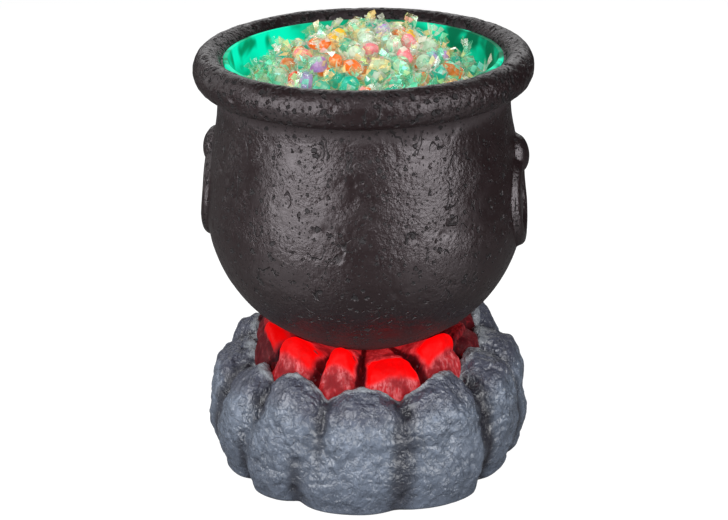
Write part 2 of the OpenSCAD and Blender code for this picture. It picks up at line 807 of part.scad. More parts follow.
cauldron_pot();
candy_bowl();
lamp_holder();
bowl_light_board();
green_leds();
bowl_board_screws();
wire_grommet();
pot_screws();
support_column();
column_screws();
stone_ring();
ember_insert();
inner_frame();
ember_light_board();
red_leds();
ember_board_screws();
base_plate();
base_screws();
rubber_feet();
battery_door();
door_screw();
battery_1();
battery_2();
battery_3();
battery_springs();
battery_contacts();
switch_body();
switch_slider();
switch_screws();
control_board();
control_chip();
board_capacitors();
board_connectors();
board_screws();
battery_wires();
switch_wires();
ember_wires();
bowl_wires();
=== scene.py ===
"""Looks of a light-up cauldron bowl on a stone fire ring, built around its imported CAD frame."""

import math

import bpy
import numpy as np
from mathutils import Matrix, Vector


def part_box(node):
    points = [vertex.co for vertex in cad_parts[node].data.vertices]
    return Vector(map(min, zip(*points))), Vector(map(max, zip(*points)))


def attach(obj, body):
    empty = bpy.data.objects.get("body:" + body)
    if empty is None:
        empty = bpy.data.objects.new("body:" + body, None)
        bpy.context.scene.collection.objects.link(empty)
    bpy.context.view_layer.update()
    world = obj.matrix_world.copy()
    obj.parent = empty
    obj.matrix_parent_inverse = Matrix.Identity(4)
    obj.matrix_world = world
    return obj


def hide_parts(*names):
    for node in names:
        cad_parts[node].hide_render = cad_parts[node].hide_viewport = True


MM = 0.001

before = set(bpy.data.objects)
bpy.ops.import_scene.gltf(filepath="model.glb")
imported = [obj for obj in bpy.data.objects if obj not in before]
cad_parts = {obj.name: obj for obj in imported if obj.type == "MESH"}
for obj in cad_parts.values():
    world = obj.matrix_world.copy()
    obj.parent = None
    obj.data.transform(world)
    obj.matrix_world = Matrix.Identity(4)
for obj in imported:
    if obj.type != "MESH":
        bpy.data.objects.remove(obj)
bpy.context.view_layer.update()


# ---------- camera, lights and floor ----------

CAMERA_DISTANCE = 1.740
CAMERA_HEIGHT = 0.912
CAMERA_ASIDE = -0.0022
CAMERA_PITCH = math.radians(22)
CAMERA_ROLL = math.radians(-0.82)
CAMERA_TURN = math.radians(8)
CAMERA_LENS = 89.26
BOUNCE_Z = 0.004
AROUND_STRENGTH = 0.06
FLOOR_HALF = 6
FLOOR_GLOW = 0.94
SOFTBOXES = [  # name, azimuth, distance, height, size, watts, and any unusual height that it is aimed at
    ("softbox_left", -46, 1.5, 0.68, (1.28, 1.36), 39),
    ("softbox_right", 44, 1.5, 0.68, (0.98, 1.36), 31),
    ("softbox_front", 0, 1.7, 2.0, (1.3, 0.8), 3),
    ("softbox_top", 0, 0.3, 2.0, (1.2, 1.2), 5),
    ("softbox_back", 179, 1.8, 1.1, (2.4, 0.9), 12, 0.42),
    ("softbox_edge", -112, 1.5, 0.9, (0.8, 1.5), 6),
]
BOUNCES = [  # name, azimuth, distance, size, watts
    ("bounce_left", -46, 0.60, (0.55, 0.50), 0.7),
    ("bounce_right", 46, 0.60, (0.45, 0.50), 0.55),
]


def in_scene(name, data):
    """A new object with that data, linked to the scene."""
    made = bpy.data.objects.new(name, data)
    bpy.context.scene.collection.objects.link(made)
    return made


def add_camera():
    """A long lens from slightly above, in front of the bowl."""
    right = Vector((1, 0, 0))
    ahead = Vector((0, math.cos(CAMERA_PITCH), -math.sin(CAMERA_PITCH)))
    up = right.cross(ahead)
    c, s = math.cos(CAMERA_ROLL), math.sin(CAMERA_ROLL)
    right, up = right * c + up * s, up * c - right * s
    turn = Matrix.Rotation(CAMERA_TURN, 4, "Z")
    place = Matrix.Translation((CAMERA_ASIDE, -CAMERA_DISTANCE, CAMERA_HEIGHT))
    look = Matrix((right, up, -ahead)).transposed().to_4x4()
    camera = in_scene("camera", bpy.data.cameras.new("camera"))
    camera.matrix_world = turn @ place @ look
    camera.data.lens = CAMERA_LENS
    camera.data.sensor_width = 36
    camera.data.clip_end = 50
    bpy.context.scene.camera = camera


def add_softbox(name, azimuth, distance, height, size, watts, aim=0.25):
    """A rectangular soft light that the camera doesn't see. Azimuth 0 is the camera's side."""
    light = bpy.data.lights.new(name, "AREA")
    light.shape = "RECTANGLE"
    light.size, light.size_y = size
    light.energy = watts
    a = math.radians(azimuth - 90) + CAMERA_TURN
    place = Vector((distance * math.cos(a), distance * math.sin(a), height))
    lamp = in_scene(name, light)
    lamp.location = place
    lamp.rotation_euler = (Vector((0, 0, aim)) - place).to_track_quat("-Z", "Y").to_euler()
    lamp.visible_camera = False
    return lamp


def add_bounce(name, azimuth, distance, size, watts):
    """A soft light that lies just above the floor and shines up, like a bright patch of the floor."""
    lamp = add_softbox(name, azimuth, distance, BOUNCE_Z, size, watts)
    lamp.rotation_euler = (math.pi, 0, math.radians(azimuth) + CAMERA_TURN)


def add_world():
    """A white background, and a dimmer even light from all round."""
    world = bpy.data.worlds.new("studio")
    bpy.context.scene.world = world
    world.use_nodes = True
    tree = world.node_tree
    tree.nodes.clear()
    out = tree.nodes.new("ShaderNodeOutputWorld")
    seen = add(tree, "Background", {"Color": (1, 1, 1), "Strength": 1.0})
    around = add(tree, "Background", {"Color": (0.95, 0.97, 1), "Strength": AROUND_STRENGTH})
    seen_ray = add(tree, "LightPath").outputs["Is Camera Ray"]
    mix = add(tree, "MixShader", {0: seen_ray, 1: around.outputs[0], 2: seen.outputs[0]})
    tree.links.new(mix.outputs[0], out.inputs[0])


# ---------- node helpers ----------


def feed(tree, socket, value):
    """Gives an input its value, or links it to another node's output. A colour is three numbers."""
    if isinstance(value, bpy.types.NodeSocket):
        tree.links.new(value, socket)
    else:
        socket.default_value = (*value, 1.0) if socket.type == "RGBA" else value


def add(tree, kind, inputs=None, **settings):
    """A shader node with those inputs and settings."""
    made = tree.nodes.new("ShaderNode" + kind)
    for key, value in settings.items():
        setattr(made, key, value)
    for key, value in (inputs or {}).items():
        feed(tree, made.inputs[key], value)
    return made


class Finish:
    """A Principled material that is put together step by step."""

    def __init__(self, name, roughness=0.5, **sockets):
        self.material = bpy.data.materials.new(name)
        self.material.use_nodes = True
        self.tree = self.material.node_tree
        self.shader = self.tree.nodes["Principled BSDF"]
        self.set("Roughness", roughness)
        for key, value in sockets.items():
            self.set(key.replace("_", " "), value)
        self.place = add(self.tree, "TexCoord").outputs["Object"]

    def scaled(self, x, y, z):
        """Object coordinates stretched along the axes."""
        return add(self.tree, "Mapping", {"Vector": self.place, "Scale": (x, y, z)}).outputs[0]

    def noise(self, scale, detail=3.0, roughness=0.5, distortion=0.0, vector=None):
        return add(self.tree, "TexNoise", {
            "Vector": vector or self.place, "Scale": scale, "Detail": detail,
            "Roughness": roughness, "Distortion": distortion,
        }).outputs["Fac"]

    def cells(self, scale, feature="F1", vector=None, output="Distance"):
        return add(self.tree, "TexVoronoi", {"Vector": vector or self.place, "Scale": scale},
                   feature=feature).outputs[output]

    def spots(self, scale, radius, chance, warp=0.0):
        """Scattered marks about that share of a cell across, on that share of the cells."""
        vector = self.warped(warp, 2.5 * scale) if warp else self.place
        cell = add(self.tree, "TexVoronoi", {"Vector": vector, "Scale": scale})
        pick = add(self.tree, "SeparateColor", {0: cell.outputs["Color"]})
        smaller = self.times(pick.outputs[1], 0.5 * radius)
        near = self.plus(cell.outputs["Distance"], smaller)
        return self.times(self.remap(near, 0.6 * radius, 1.1 * radius, 1.0, 0.0),
                         self.math("GREATER_THAN", pick.outputs[0], 1 - chance))

    def attribute(self, name):
        return add(self.tree, "Attribute", attribute_name=name).outputs["Fac"]

    def remap(self, value, low, high, to_low=0.0, to_high=1.0, smooth=True):
        return add(self.tree, "MapRange", {
            "Value": value, "From Min": low, "From Max": high, "To Min": to_low, "To Max": to_high,
        }, interpolation_type="SMOOTHSTEP" if smooth else "LINEAR").outputs[0]

    def math(self, operation, a, b=0.0):
        return add(self.tree, "Math", {0: a, 1: b}, operation=operation).outputs[0]

    def plus(self, a, b):
        return self.math("ADD", a, b)

    def times(self, a, b):
        return self.math("MULTIPLY", a, b)

    def mix(self, share, a, b):
        made = add(self.tree, "Mix", data_type="RGBA")
        for index, value in ((0, share), (6, a), (7, b)):
            feed(self.tree, made.inputs[index], value)
        return made.outputs[2]

    def warped(self, amount, scale):
        """Object coordinates pushed about by a noise, in metres."""
        push = add(self.tree, "TexNoise", {"Vector": self.place, "Scale": scale, "Detail": 2.0})
        centred = add(self.tree, "VectorMath", {0: push.outputs["Color"], 1: (0.5, 0.5, 0.5)},
                      operation="SUBTRACT").outputs[0]
        grown = add(self.tree, "VectorMath", {0: centred, 3: amount}, operation="SCALE").outputs[0]
        return add(self.tree, "VectorMath", {0: self.place, 1: grown}, operation="ADD").outputs[0]

    def axis(self, index):
        """One of the object coordinates, in metres."""
        return add(self.tree, "SeparateXYZ", {0: self.place}).outputs[index]

    def set(self, key, value):
        feed(self.tree, self.shader.inputs[key], value)

    def bump(self, height, distance, strength=1.0):
        """Adds a bump of that depth in metres, on top of any bump before it."""
        before = self.shader.inputs["Normal"].links
        made = add(self.tree, "Bump", {"Height": height, "Distance": distance, "Strength": strength})
        if before:
            self.tree.links.new(before[0].from_socket, made.inputs["Normal"])
        self.set("Normal", made.outputs[0])


# ---------- materials ----------

# Heights, in metres, between which the pot turns duller: soot near the fire, and dust under the rim.
SOOT_Z = (0.160, 0.205)
DUST_Z = (0.380, 0.398)


def pot_finish(name="cast_black", pitting=1.0, gloss=0.52, rim=False):
    """Satin black moulding with the beaten, pitted and cracked skin of old cast iron."""
    f = Finish(name, roughness=0.34, Specular_IOR_Level=gloss, Specular_Tint=(1.0, 0.93, 0.98))
    beaten = f.noise(70, 3.0, 0.5)
    nubs = f.noise(270, 3.0, 0.6)
    where = f.remap(f.noise(19, 2.0), 0.38, 0.62, 0.2, 1.0)
    wide = f.noise(26, 2.0)
    pits = f.spots(150, 0.36 * pitting, 0.38 * pitting, 0.004)
    large_pits = f.spots(88, 0.30, 0.40 * pitting, 0.006)
    small_pits = f.spots(310, 0.38, 0.30 * pitting, 0.002)
    meander = f.noise(1, 2.0, 0.5, distortion=0.5, vector=f.scaled(44, 44, 20))
    crack = f.remap(f.math("ABSOLUTE", f.math("SUBTRACT", meander, 0.5)), 0.0, 0.016, 1.0, 0.0)
    crack = f.times(crack, f.remap(f.noise(30, 1.0), 0.57, 0.64))
    hole = f.math("MAXIMUM", f.math("MAXIMUM", pits, large_pits), f.math("MAXIMUM", small_pits, crack))
    tone = f.mix(wide, (0.0060, 0.0026, 0.0028), (0.0095, 0.0044, 0.0048))
    # Pits and cracks are painted near black, as painted shade in them.
    f.set("Base Color", f.mix(hole, tone, (0.0012, 0.001, 0.001)))
    up = f.axis(2)
    dull = f.remap(up, *SOOT_Z, 0.42, 0.0)
    if not rim:
        dull = f.plus(dull, f.remap(up, *DUST_Z, 0.0, 0.55))
    rough = f.plus(f.remap(beaten, 0.3, 0.7, 0.29, 0.38), dull)
    f.set("Roughness", f.plus(rough, f.times(hole, 0.35)))
    f.bump(beaten, 0.0011, 0.8)
    f.bump(f.times(nubs, where), 0.0013 * pitting, 0.9)
    f.bump(hole, -0.0022 * pitting)
    return f.material


def stone_finish():
    """Blue-grey stone, dry-brushed paler on the raised lumps; painted light makes the upper fronts paler,
    and painted shade darkens the creases, the fine folds, the foot, and the tops and inner slopes as a dark
    reflection of the pot.
    """
    f = Finish("stone_grey", roughness=0.4)
    rise, pale, top = f.attribute("rise"), f.attribute("pale"), f.attribute("top")
    broad = f.noise(17, 3.0, 0.6)
    clay = f.noise(125, 4.0, 0.62, distortion=0.5)
    up = f.axis(2)
    pebble = f.noise(140, 1.4, 0.45, distortion=0.4)
    meander = f.noise(1, 2.0, 0.5, 0.6, f.scaled(105, 105, 70))
    fold = f.remap(f.math("ABSOLUTE", f.math("SUBTRACT", meander, 0.5)), 0.0, 0.05, 1.0, 0.0)
    patchy = f.remap(f.noise(24, 2.0), 0.4, 0.6, 0.4, 1.0)
    where = f.times(patchy, f.remap(up, 0.0, 0.07, 0.6, 1.0))
    speck = f.noise(700, 2.0)
    base = f.mix(f.remap(broad, 0.3, 0.7), (0.058, 0.070, 0.094), (0.094, 0.113, 0.149))
    # Dry-brushed paint on the raised lumps, made stronger higher up: the higher part is painted light on
    # the upper fronts.
    brushed = f.times(f.remap(clay, 0.42, 0.66), f.remap(rise, 0.35, 0.95))
    brushed = f.times(brushed, f.remap(up, 0.03, 0.10, 0.30, 0.70))
    base = f.mix(brushed, base, (0.163, 0.191, 0.245))
    # Painted dark reflection of the pot on the tops and inner slopes.
    base = f.mix(f.times(top, 0.75), base, (0.036, 0.035, 0.052))
    # Painted shade at the foot, darker towards the floor.
    base = f.mix(f.remap(up, 0.0, 0.07, 0.35, 0.0), base, (0.036, 0.042, 0.060))
    # Painted shade in the creases, where rise is low.
    base = f.mix(rise, (0.016, 0.016, 0.022), base)
    base = f.mix(f.times(pale, 0.85), base, (0.20, 0.215, 0.235))
    # The fine fold lines get a little painted shade.
    f.set("Base Color", f.mix(f.times(fold, 0.2), base, (0.030, 0.033, 0.045)))
    f.set("Roughness", f.remap(clay, 0.3, 0.7, 0.32, 0.22))
    f.bump(f.times(pebble, where), 0.0054, 1.0)
    f.bump(fold, -0.0004, 0.9)
    f.bump(clay, 0.0016, 0.9)
    f.bump(speck, 0.00018, 0.6)
    return f.material


def ember_finish():
    """Translucent red moulding lit from below, its light painted on as emission: glowing tops, frosted
    fronts with a faint glow, and dark creases, with painted shade on the lumps under the stones' overhang.
    """
    f = Finish("ember_red", roughness=0.5, Specular_IOR_Level=0.06)
    rise, glow, lit = f.attribute("rise"), f.attribute("ember_glow"), f.attribute("ember_lit")
    scratch = f.noise(1, 4.0, 0.65, distortion=0.6, vector=f.scaled(330, 330, 70))
    streak = f.times(f.math("SUBTRACT", scratch, 0.5), f.remap(glow, 0.95, 0.45))
    glow = f.plus(glow, f.times(streak, 0.9))
    cloud = f.noise(60, 3.0, 0.6)
    frost = f.mix(f.remap(scratch, 0.42, 0.60), (0.070, 0.010, 0.012), (0.17, 0.095, 0.10))
    frost = f.mix(f.remap(cloud, 0.38, 0.62), (0.06, 0.006, 0.008), frost)
    # Painted light on the fronts of the lumps, and painted shade on the lumps under the stones' overhang.
    front = f.remap(lit, 0.0, 0.8, 0.12, 1.0)
    base = f.mix(f.times(f.remap(rise, 0.25, 0.7), front), (0.016, 0.002, 0.004), frost)
    chips = f.times(f.spots(210, 0.34, 0.4, 0.003), f.remap(rise, 0.25, 0.5, 0.5, 0.0))
    base = f.mix(chips, base, (0.16, 0.12, 0.13))
    f.set("Base Color", f.mix(f.remap(glow, 0.15, 0.85), base, (0.05, 0.0003, 0.0006)))
    # Painted glow as emission: a little on the fronts, and strongly on the tops.
    body = f.times(f.remap(rise, 0.1, 0.85, 0.05, 0.34), f.remap(cloud, 0.35, 0.65, 0.5, 1.35))
    body = f.times(body, front)
    painted_glow = f.times(f.remap(glow, 0.05, 0.85, smooth=False), 0.66)
    f.set("Emission Color", f.mix(f.remap(glow, 0.1, 0.9), (1.0, 0.026, 0.034), (1.0, 0.0005, 0.001)))
    f.set("Emission Strength", f.plus(painted_glow, body))
    f.bump(scratch, 0.0009, 0.7)
    f.bump(f.noise(120, 3.0), 0.0015, 0.6)
    return f.material


def bowl_finish():
    """Clear green bowl, lit from under its floor, its light painted on as emission: brighter to the left,
    with light and dark patches of painted light and shade.
    """
    f = Finish("bowl_green", roughness=0.5, Specular_IOR_Level=0.05)
    ripple = f.noise(30, 2.0, 0.5, distortion=0.3)
    patch = f.noise(14, 1.0)
    across = f.axis(0)
    f.set("Base Color", f.mix(ripple, (0.0, 0.04, 0.02), (0.0, 0.10, 0.06)))
    shade = f.times(f.remap(ripple, 0.41, 0.57), f.remap(patch, 0.38, 0.6, 0.35, 1.0))
    f.set("Emission Color", f.mix(shade, (0.0, 0.42, 0.17), (0.0, 0.80, 0.46)))
    # Painted light, stronger to the left.
    least = f.remap(across, -0.13, 0.12, 0.55, 0.20, smooth=False)
    even = f.remap(across, -0.13, 0.14, 0.52, 0.90, smooth=False)
    f.set("Emission Strength", f.plus(f.times(shade, even), least))
    f.bump(ripple, 0.004, 0.6)
    return f.material


def plastic_finish(name, dark, light, roughness=0.45, grain=900, depth=0.00012):
    """Moulded plastic with a fine spark-eroded grain and faint flow marks."""
    f = Finish(name)
    flow = f.noise(20, 3.0, 0.6, distortion=1.0)
    fine = f.noise(grain, 2.0)
    f.set("Base Color", f.mix(flow, dark, light))
    f.set("Roughness", f.remap(fine, 0.3, 0.7, roughness - 0.06, roughness + 0.08))
    f.bump(fine, depth, 0.8)
    return f.material


def rubber_finish():
    f = Finish("black_rubber")
    fine = f.noise(1400, 2.0)
    wear = f.noise(120, 3.0)
    f.set("Base Color", f.mix(wear, (0.012, 0.012, 0.012), (0.030, 0.029, 0.028)))
    f.set("Roughness", f.remap(wear, 0.3, 0.7, 0.72, 0.88))
    f.bump(fine, 0.00015, 0.8)
    return f.material


def steel_finish():
    f = Finish("steel", Metallic=1.0)
    brushed = f.noise(1, 3.0, vector=f.scaled(2600, 300, 2600))
    spots = f.noise(500, 2.0)
    f.set("Base Color", f.mix(spots, (0.50, 0.50, 0.49), (0.68, 0.68, 0.66)))
    f.set("Roughness", f.remap(brushed, 0.3, 0.7, 0.24, 0.42))
    f.bump(brushed, 0.00004, 0.6)
    return f.material


def board_finish():
    """Green solder mask over copper tracks."""
    f = Finish("circuit_board", roughness=0.35)
    tracks = f.cells(260, feature="DISTANCE_TO_EDGE")
    copper = f.remap(tracks, 0.03, 0.07, 1.0, 0.0)
    glass = f.noise(1, 2.0, vector=f.scaled(1800, 1800, 200))
    green = f.mix(glass, (0.010, 0.085, 0.035), (0.016, 0.125, 0.050))
    f.set("Base Color", f.mix(copper, green, (0.045, 0.20, 0.075)))
    f.bump(copper, 0.00005, 0.8)
    return f.material


def lamp_finish(name, colour, glow):
    """A clear lens with a bright chip in its middle."""
    f = Finish(name, roughness=0.12)
    cloud = f.noise(700, 2.0)
    f.set("Base Color", f.mix(cloud, colour, tuple(0.5 + 0.5 * c for c in colour)))
    f.set("Emission Color", colour)
    f.set("Emission Strength", f.remap(cloud, 0.3, 0.7, 0.7 * glow, 1.2 * glow))
    f.bump(cloud, 0.00006, 0.5)
    return f.material


def cell_finish():
    """A cell's plain wrap, with a copper-coloured band at one end."""
    f = Finish("cell_wrap", Metallic=0.6)
    along = f.axis(0)
    band = f.remap(f.math("SINE", f.times(along, 60.0)), 0.55, 0.6)
    scuff = f.noise(1, 3.0, vector=f.scaled(90, 900, 900))
    wrap = f.mix(scuff, (0.02, 0.02, 0.022), (0.05, 0.05, 0.052))
    f.set("Base Color", f.mix(band, wrap, (0.55, 0.30, 0.12)))
    f.set("Roughness", f.remap(scuff, 0.3, 0.7, 0.25, 0.4))
    f.bump(scuff, 0.00004, 0.5)
    return f.material


SLOT_FINISHES = {
    "cast_black": pot_finish,
    "bowl_green": bowl_finish,
    "stone_grey": stone_finish,
    "ember_red": ember_finish,
    "black_rubber": rubber_finish,
    "steel": steel_finish,
    "circuit_board": board_finish,
    "green_lamp": lambda: lamp_finish("green_lamp", (0.05, 1.0, 0.45), 6.0),
    "red_lamp": lambda: lamp_finish("red_lamp", (1.0, 0.03, 0.02), 6.0),
    "cell_wrap": cell_finish,
}
PLASTICS = {  # darker tone, lighter tone, and any unusual roughness, grain and depth
    "black_plastic": ((0.016, 0.016, 0.017), (0.026, 0.026, 0.027)),
    "white_plastic": ((0.60, 0.59, 0.57), (0.72, 0.71, 0.69)),
    "grey_plastic": ((0.16, 0.16, 0.165), (0.22, 0.22, 0.225)),
    "switch_black": ((0.010, 0.010, 0.010), (0.02, 0.02, 0.02), 0.32),
    "chip_black": ((0.012, 0.012, 0.013), (0.02, 0.02, 0.022), 0.55, 2400, 0.00003),
    "capacitor_blue": ((0.012, 0.018, 0.06), (0.02, 0.03, 0.09), 0.28),
    "connector_ivory": ((0.56, 0.53, 0.44), (0.66, 0.63, 0.54), 0.4),
    "wire_red": ((0.40, 0.02, 0.015), (0.52, 0.035, 0.025), 0.38),
    "wire_green": ((0.02, 0.26, 0.08), (0.035, 0.36, 0.12), 0.38),
}
finishes = {name: make() for name, make in SLOT_FINISHES.items()}
finishes.update({name: plastic_finish(name, *look) for name, look in PLASTICS.items()})


def finish_cad_nodes():
    """Every CAD node takes the finish of the slots that its packed materials name."""
    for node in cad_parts.values():
        for index, packed in enumerate(node.data.materials):
            node.data.materials[index] = finishes[packed.name.split(".")[0]]


# ---------- noise on arrays of points ----------


def hashed(x, y, z, seed):
    """A steady pseudo-random number from 0 to 1 for each whole-number point."""
    key = (seed * 668265263 + 97) & 0xFFFFFFFF
    with np.errstate(over="ignore"):
        h = x.astype(np.uint32) * np.uint32(73856093)
        h ^= y.astype(np.uint32) * np.uint32(19349663)
        h ^= z.astype(np.uint32) * np.uint32(83492791)
        h ^= np.uint32(key)
        h = (h ^ (h >> np.uint32(15))) * np.uint32(2246822519)
        h = (h ^ (h >> np.uint32(13))) * np.uint32(3266489917)
        h ^= h >> np.uint32(16)
    return h / 4294967295.0


def noise(points, size, seed):
    """Smooth noise from -1 to 1, with lumps about that size."""
    q = points / size
    i = np.floor(q).astype(np.int64)
    f = q - i
    f = f * f * f * (f * (f * 6 - 15) + 10)
    total = 0
    for dx in (0, 1):
        for dy in (0, 1):
            for dz in (0, 1):
                share = (f[..., 0] if dx else 1 - f[..., 0]) * (f[..., 1] if dy else 1 - f[..., 1])
                share = share * (f[..., 2] if dz else 1 - f[..., 2])
                total = total + share * hashed(i[..., 0] + dx, i[..., 1] + dy, i[..., 2] + dz, seed)
    return 2 * total - 1


def fractal(points, size, octaves, seed, gain=0.5):
    return sum(gain ** k * noise(points + 0.173 * k, size / 2 ** k, seed + k) for k in range(octaves))


def scatter(points, size, seed):
    """Distance to the nearest of some scattered points, as a share of size, and a random number for it."""
    q = points / size
    base = np.floor(q).astype(np.int64)
    first = np.full(q.shape[:-1], 9.0)
    tag = np.zeros(q.shape[:-1])
    for dx in (-1, 0, 1):
        for dy in (-1, 0, 1):
            for dz in (-1, 0, 1):
                x, y, z = base[..., 0] + dx, base[..., 1] + dy, base[..., 2] + dz
                spot = [c + hashed(x, y, z, seed + k) for k, c in enumerate((x, y, z))]
                d = np.sqrt(sum((s - q[..., k]) ** 2 for k, s in enumerate(spot)))
                nearer = d < first
                tag = np.where(nearer, hashed(x, y, z, seed + 3), tag)
                first = np.where(nearer, d, first)
    return first, tag


def dents(points, size, depth, seed, chance=0.6):
    """Shallow round dents: a negative height."""
    d, tag = scatter(points, size, seed)
    radius = 0.16 + 0.26 * tag
    return -depth * (tag > 1 - chance) * np.clip(1 - (d / radius) ** 2, 0, 1)


def ease(x, low, high):
    t = np.clip((x - low) / (high - low), 0, 1)
    return t * t * (3 - 2 * t)


def larger(a, b, blend):
    """The larger of two heights, with a fillet of that size where they meet."""
    h = np.clip(0.5 + 0.5 * (a - b) / blend, 0, 1)
    return b + (a - b) * h + blend * h * (1 - h)


# ---------- mesh helpers ----------


def make_piece(name, vertices, faces, material, body, smooth=True, attributes=None):
    mesh = bpy.data.meshes.new(name)
    mesh.from_pydata(vertices, [], faces)
    for key, values in (attributes or {}).items():
        layer = mesh.attributes.new(key, "FLOAT", "POINT")
        layer.data.foreach_set("value", np.asarray(values, np.float32).ravel())
    mesh.polygons.foreach_set("use_smooth", np.full(len(mesh.polygons), smooth))
    mesh.materials.append(material)
    mesh.update()
    made = in_scene(name, mesh)
    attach(made, body)
    return made


def joined(*parts):
    """Arrays, broadcast to one shape, as the last axis of one array."""
    return np.stack(np.broadcast_arrays(*parts), -1)


def ring_faces(rows, columns):
    """Quads of a grid that closes on itself both ways."""
    a = np.arange(rows * columns).reshape(rows, columns)
    b = np.roll(a, -1, 1)
    return np.stack([a, b, np.roll(b, -1, 0), np.roll(a, -1, 0)], -1).reshape(-1, 4)


def make_ring(name, grid, material, body, attributes=None):
    """A closed ring from points in millimetres. Rows go round its section, columns round the axis."""
    faces = ring_faces(*grid.shape[:2])
    points = grid.reshape(-1, 3)
    a, b, c = (points[faces[:, k]] for k in range(3))
    if np.einsum("ij,ij->i", a, np.cross(b, c)).sum() < 0:
        faces = faces[:, ::-1]
    return make_piece(name, (points * MM).tolist(), faces.tolist(), material, body,
                      attributes=attributes)


def resample(points, count, weight=None):
    """Points evenly spaced along a line through the given ones, or closer where weight is larger."""
    points = np.asarray(points, float)
    steps = np.linalg.norm(np.diff(points, axis=0), axis=1)
    if weight is not None:
        steps = steps * weight((points[1:] + points[:-1]) / 2)
    t = np.concatenate([[0], np.cumsum(steps)])
    at = np.linspace(0, t[-1], count)
    return joined(*(np.interp(at, t, points[:, k]) for k in range(points.shape[1])))


def turned(profile, angles):
    """A profile of (radius, height) points turned about the Z axis, as a grid of points."""
    r, z = profile[:, :1], profile[:, 1:2]
    return joined(r * np.cos(angles), r * np.sin(angles), z)


def profile_normals(profile):
    """Unit normals of a profile that runs downwards on the outside, pointing out."""
    slope = np.gradient(profile, axis=0)
    normal = joined(-slope[:, 1], slope[:, 0])
    return normal / np.linalg.norm(normal, axis=1, keepdims=True)


def bent_round(section, angles):
    """Rows of (radius, height) points, one for each angle, as a grid of points."""
    r, z = section[..., 0], section[..., 1]
    return joined(r * np.cos(angles), r * np.sin(angles), z)


def circle_of(radius, angles):
    return joined(radius * np.cos(angles), radius * np.sin(angles), 0)


def grid_normals(grid):
    """Unit normals of a closed grid, pointing out of a ring whose section runs downwards on its outside."""
    round_axis = np.roll(grid, -1, 1) - np.roll(grid, 1, 1)
    along = np.roll(grid, -1, 0) - np.roll(grid, 1, 0)
    normal = np.cross(along, round_axis)
    return normal / np.maximum(np.linalg.norm(normal, axis=-1, keepdims=True), 1e-9)


# ---------- pot ----------

BELLY_R, BELLY_Z = 162.0, 269.0
NECK_R, NECK_Z = 142.0, 400.0
NECK_FLARE, NECK_FLARE_Z = 5.0, 362.0
ELLIPSE_BOTTOM_Z = 124.5
SHOULDER_POWER = 1.3
POT_WALL = 2.5
POT_FLOOR_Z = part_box("cauldron_pot")[0].z / MM
WIRE_HOLE_R = 18.0
WALL_TOP_Z = 417.0
HANDLE_R, HANDLE_Z, BAR_R = 42.0, 285.0, 8.0
BAR_SINK = 1.5
BRACKET_Z = 331.0
BRACKET_HALF = (19.0, 20.0)
BRACKET_RISE = 12.0


def pot_radius(z):
    low = BELLY_R * np.sqrt(np.clip(1 - ((BELLY_Z - z) / (BELLY_Z - ELLIPSE_BOTTOM_Z)) ** 2, 0, 1))
    rise = np.clip((z - BELLY_Z) / (NECK_Z - BELLY_Z), 0, 1)
    flare = NECK_FLARE * np.clip((z - NECK_FLARE_Z) / (NECK_Z - NECK_FLARE_Z), 0, 1.3) ** 2
    return np.where(z < BELLY_Z, low, BELLY_R - (BELLY_R - NECK_R) * rise ** SHOULDER_POWER + flare)


def handle_relief(x, y, z):
    """Height of the handle rings and their brackets above the wall, moulded on the left and right."""
    across = np.arctan2(y, np.abs(x)) * BELLY_R
    up = z - HANDLE_Z
    off = np.hypot(across, up) - HANDLE_R
    bar = np.sqrt(np.clip(BAR_R ** 2 - off ** 2, 0, None)) - BAR_SINK
    bar = np.where(np.abs(off) < BAR_R, bar, -BAR_SINK - 0.5 * (np.abs(off) - BAR_R))
    d = (across / BRACKET_HALF[0]) ** 2 + ((z - BRACKET_Z) / BRACKET_HALF[1]) ** 2
    lump = BRACKET_RISE * np.sqrt(np.clip(1 - d, 0, None)) - np.where(d < 1, 0, 3 * (np.sqrt(d) - 1))
    return larger(larger(bar, lump, 1.2), np.zeros_like(bar), 2.6)


def add_pot_wall():
    columns = 590
    rows = 150
    dense = np.linspace(0, 2 * math.pi, 4001)
    crowd = 1 + 1.1 * np.exp(-(np.abs(np.sin(dense)) / 0.30) ** 4)
    total = np.concatenate([[0], np.cumsum((crowd[1:] + crowd[:-1]) / 2)])
    angles = np.interp(np.arange(columns) / columns * total[-1], total, dense)
    z = np.concatenate([np.linspace(WALL_TOP_Z, NECK_Z, 8)[:-1], np.linspace(NECK_Z, POT_FLOOR_Z, 300)])
    outer = joined(pot_radius(z), z)
    outer = resample(outer, rows, lambda p: np.where(p[:, 1] < 150, 0.5, 1.0))
    normal = profile_normals(outer)
    inner = outer - POT_WALL * normal
    inner = inner[inner[:, 1] > POT_FLOOR_Z + POT_WALL][::-12]
    floor_in = [[WIRE_HOLE_R, POT_FLOOR_Z + POT_WALL], [30, POT_FLOOR_Z + POT_WALL]]
    floor_out = [[30, POT_FLOOR_Z], [WIRE_HOLE_R, POT_FLOOR_Z]]
    skin = turned(outer, angles)
    out = turned(normal, angles)
    height = handle_relief(skin[..., 0], skin[..., 1], skin[..., 2])
    rough = 0.5 * noise(skin, 70, 11) + 0.16 * fractal(skin, 24, 2, 12) + 0.10 * noise(skin, 8, 15)
    rough = rough + dents(skin, 26, 0.30, 16, 0.4) + dents(skin, 12, 0.75, 17, 0.35)
    fade = ease(skin[..., 2], POT_FLOOR_Z, 142) * (1 - ease(skin[..., 2], 398, 410))
    skin = skin + out * ((rough * (1 - 0.5 * ease(height, 0.5, 3)) + height) * fade)[..., None]
    rest = turned(np.concatenate([floor_out, floor_in, inner]), angles)
    wall = make_ring("cauldron_wall", np.concatenate([skin, rest]), finishes["cast_black"],
                     "cauldron")
    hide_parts("cauldron_pot")


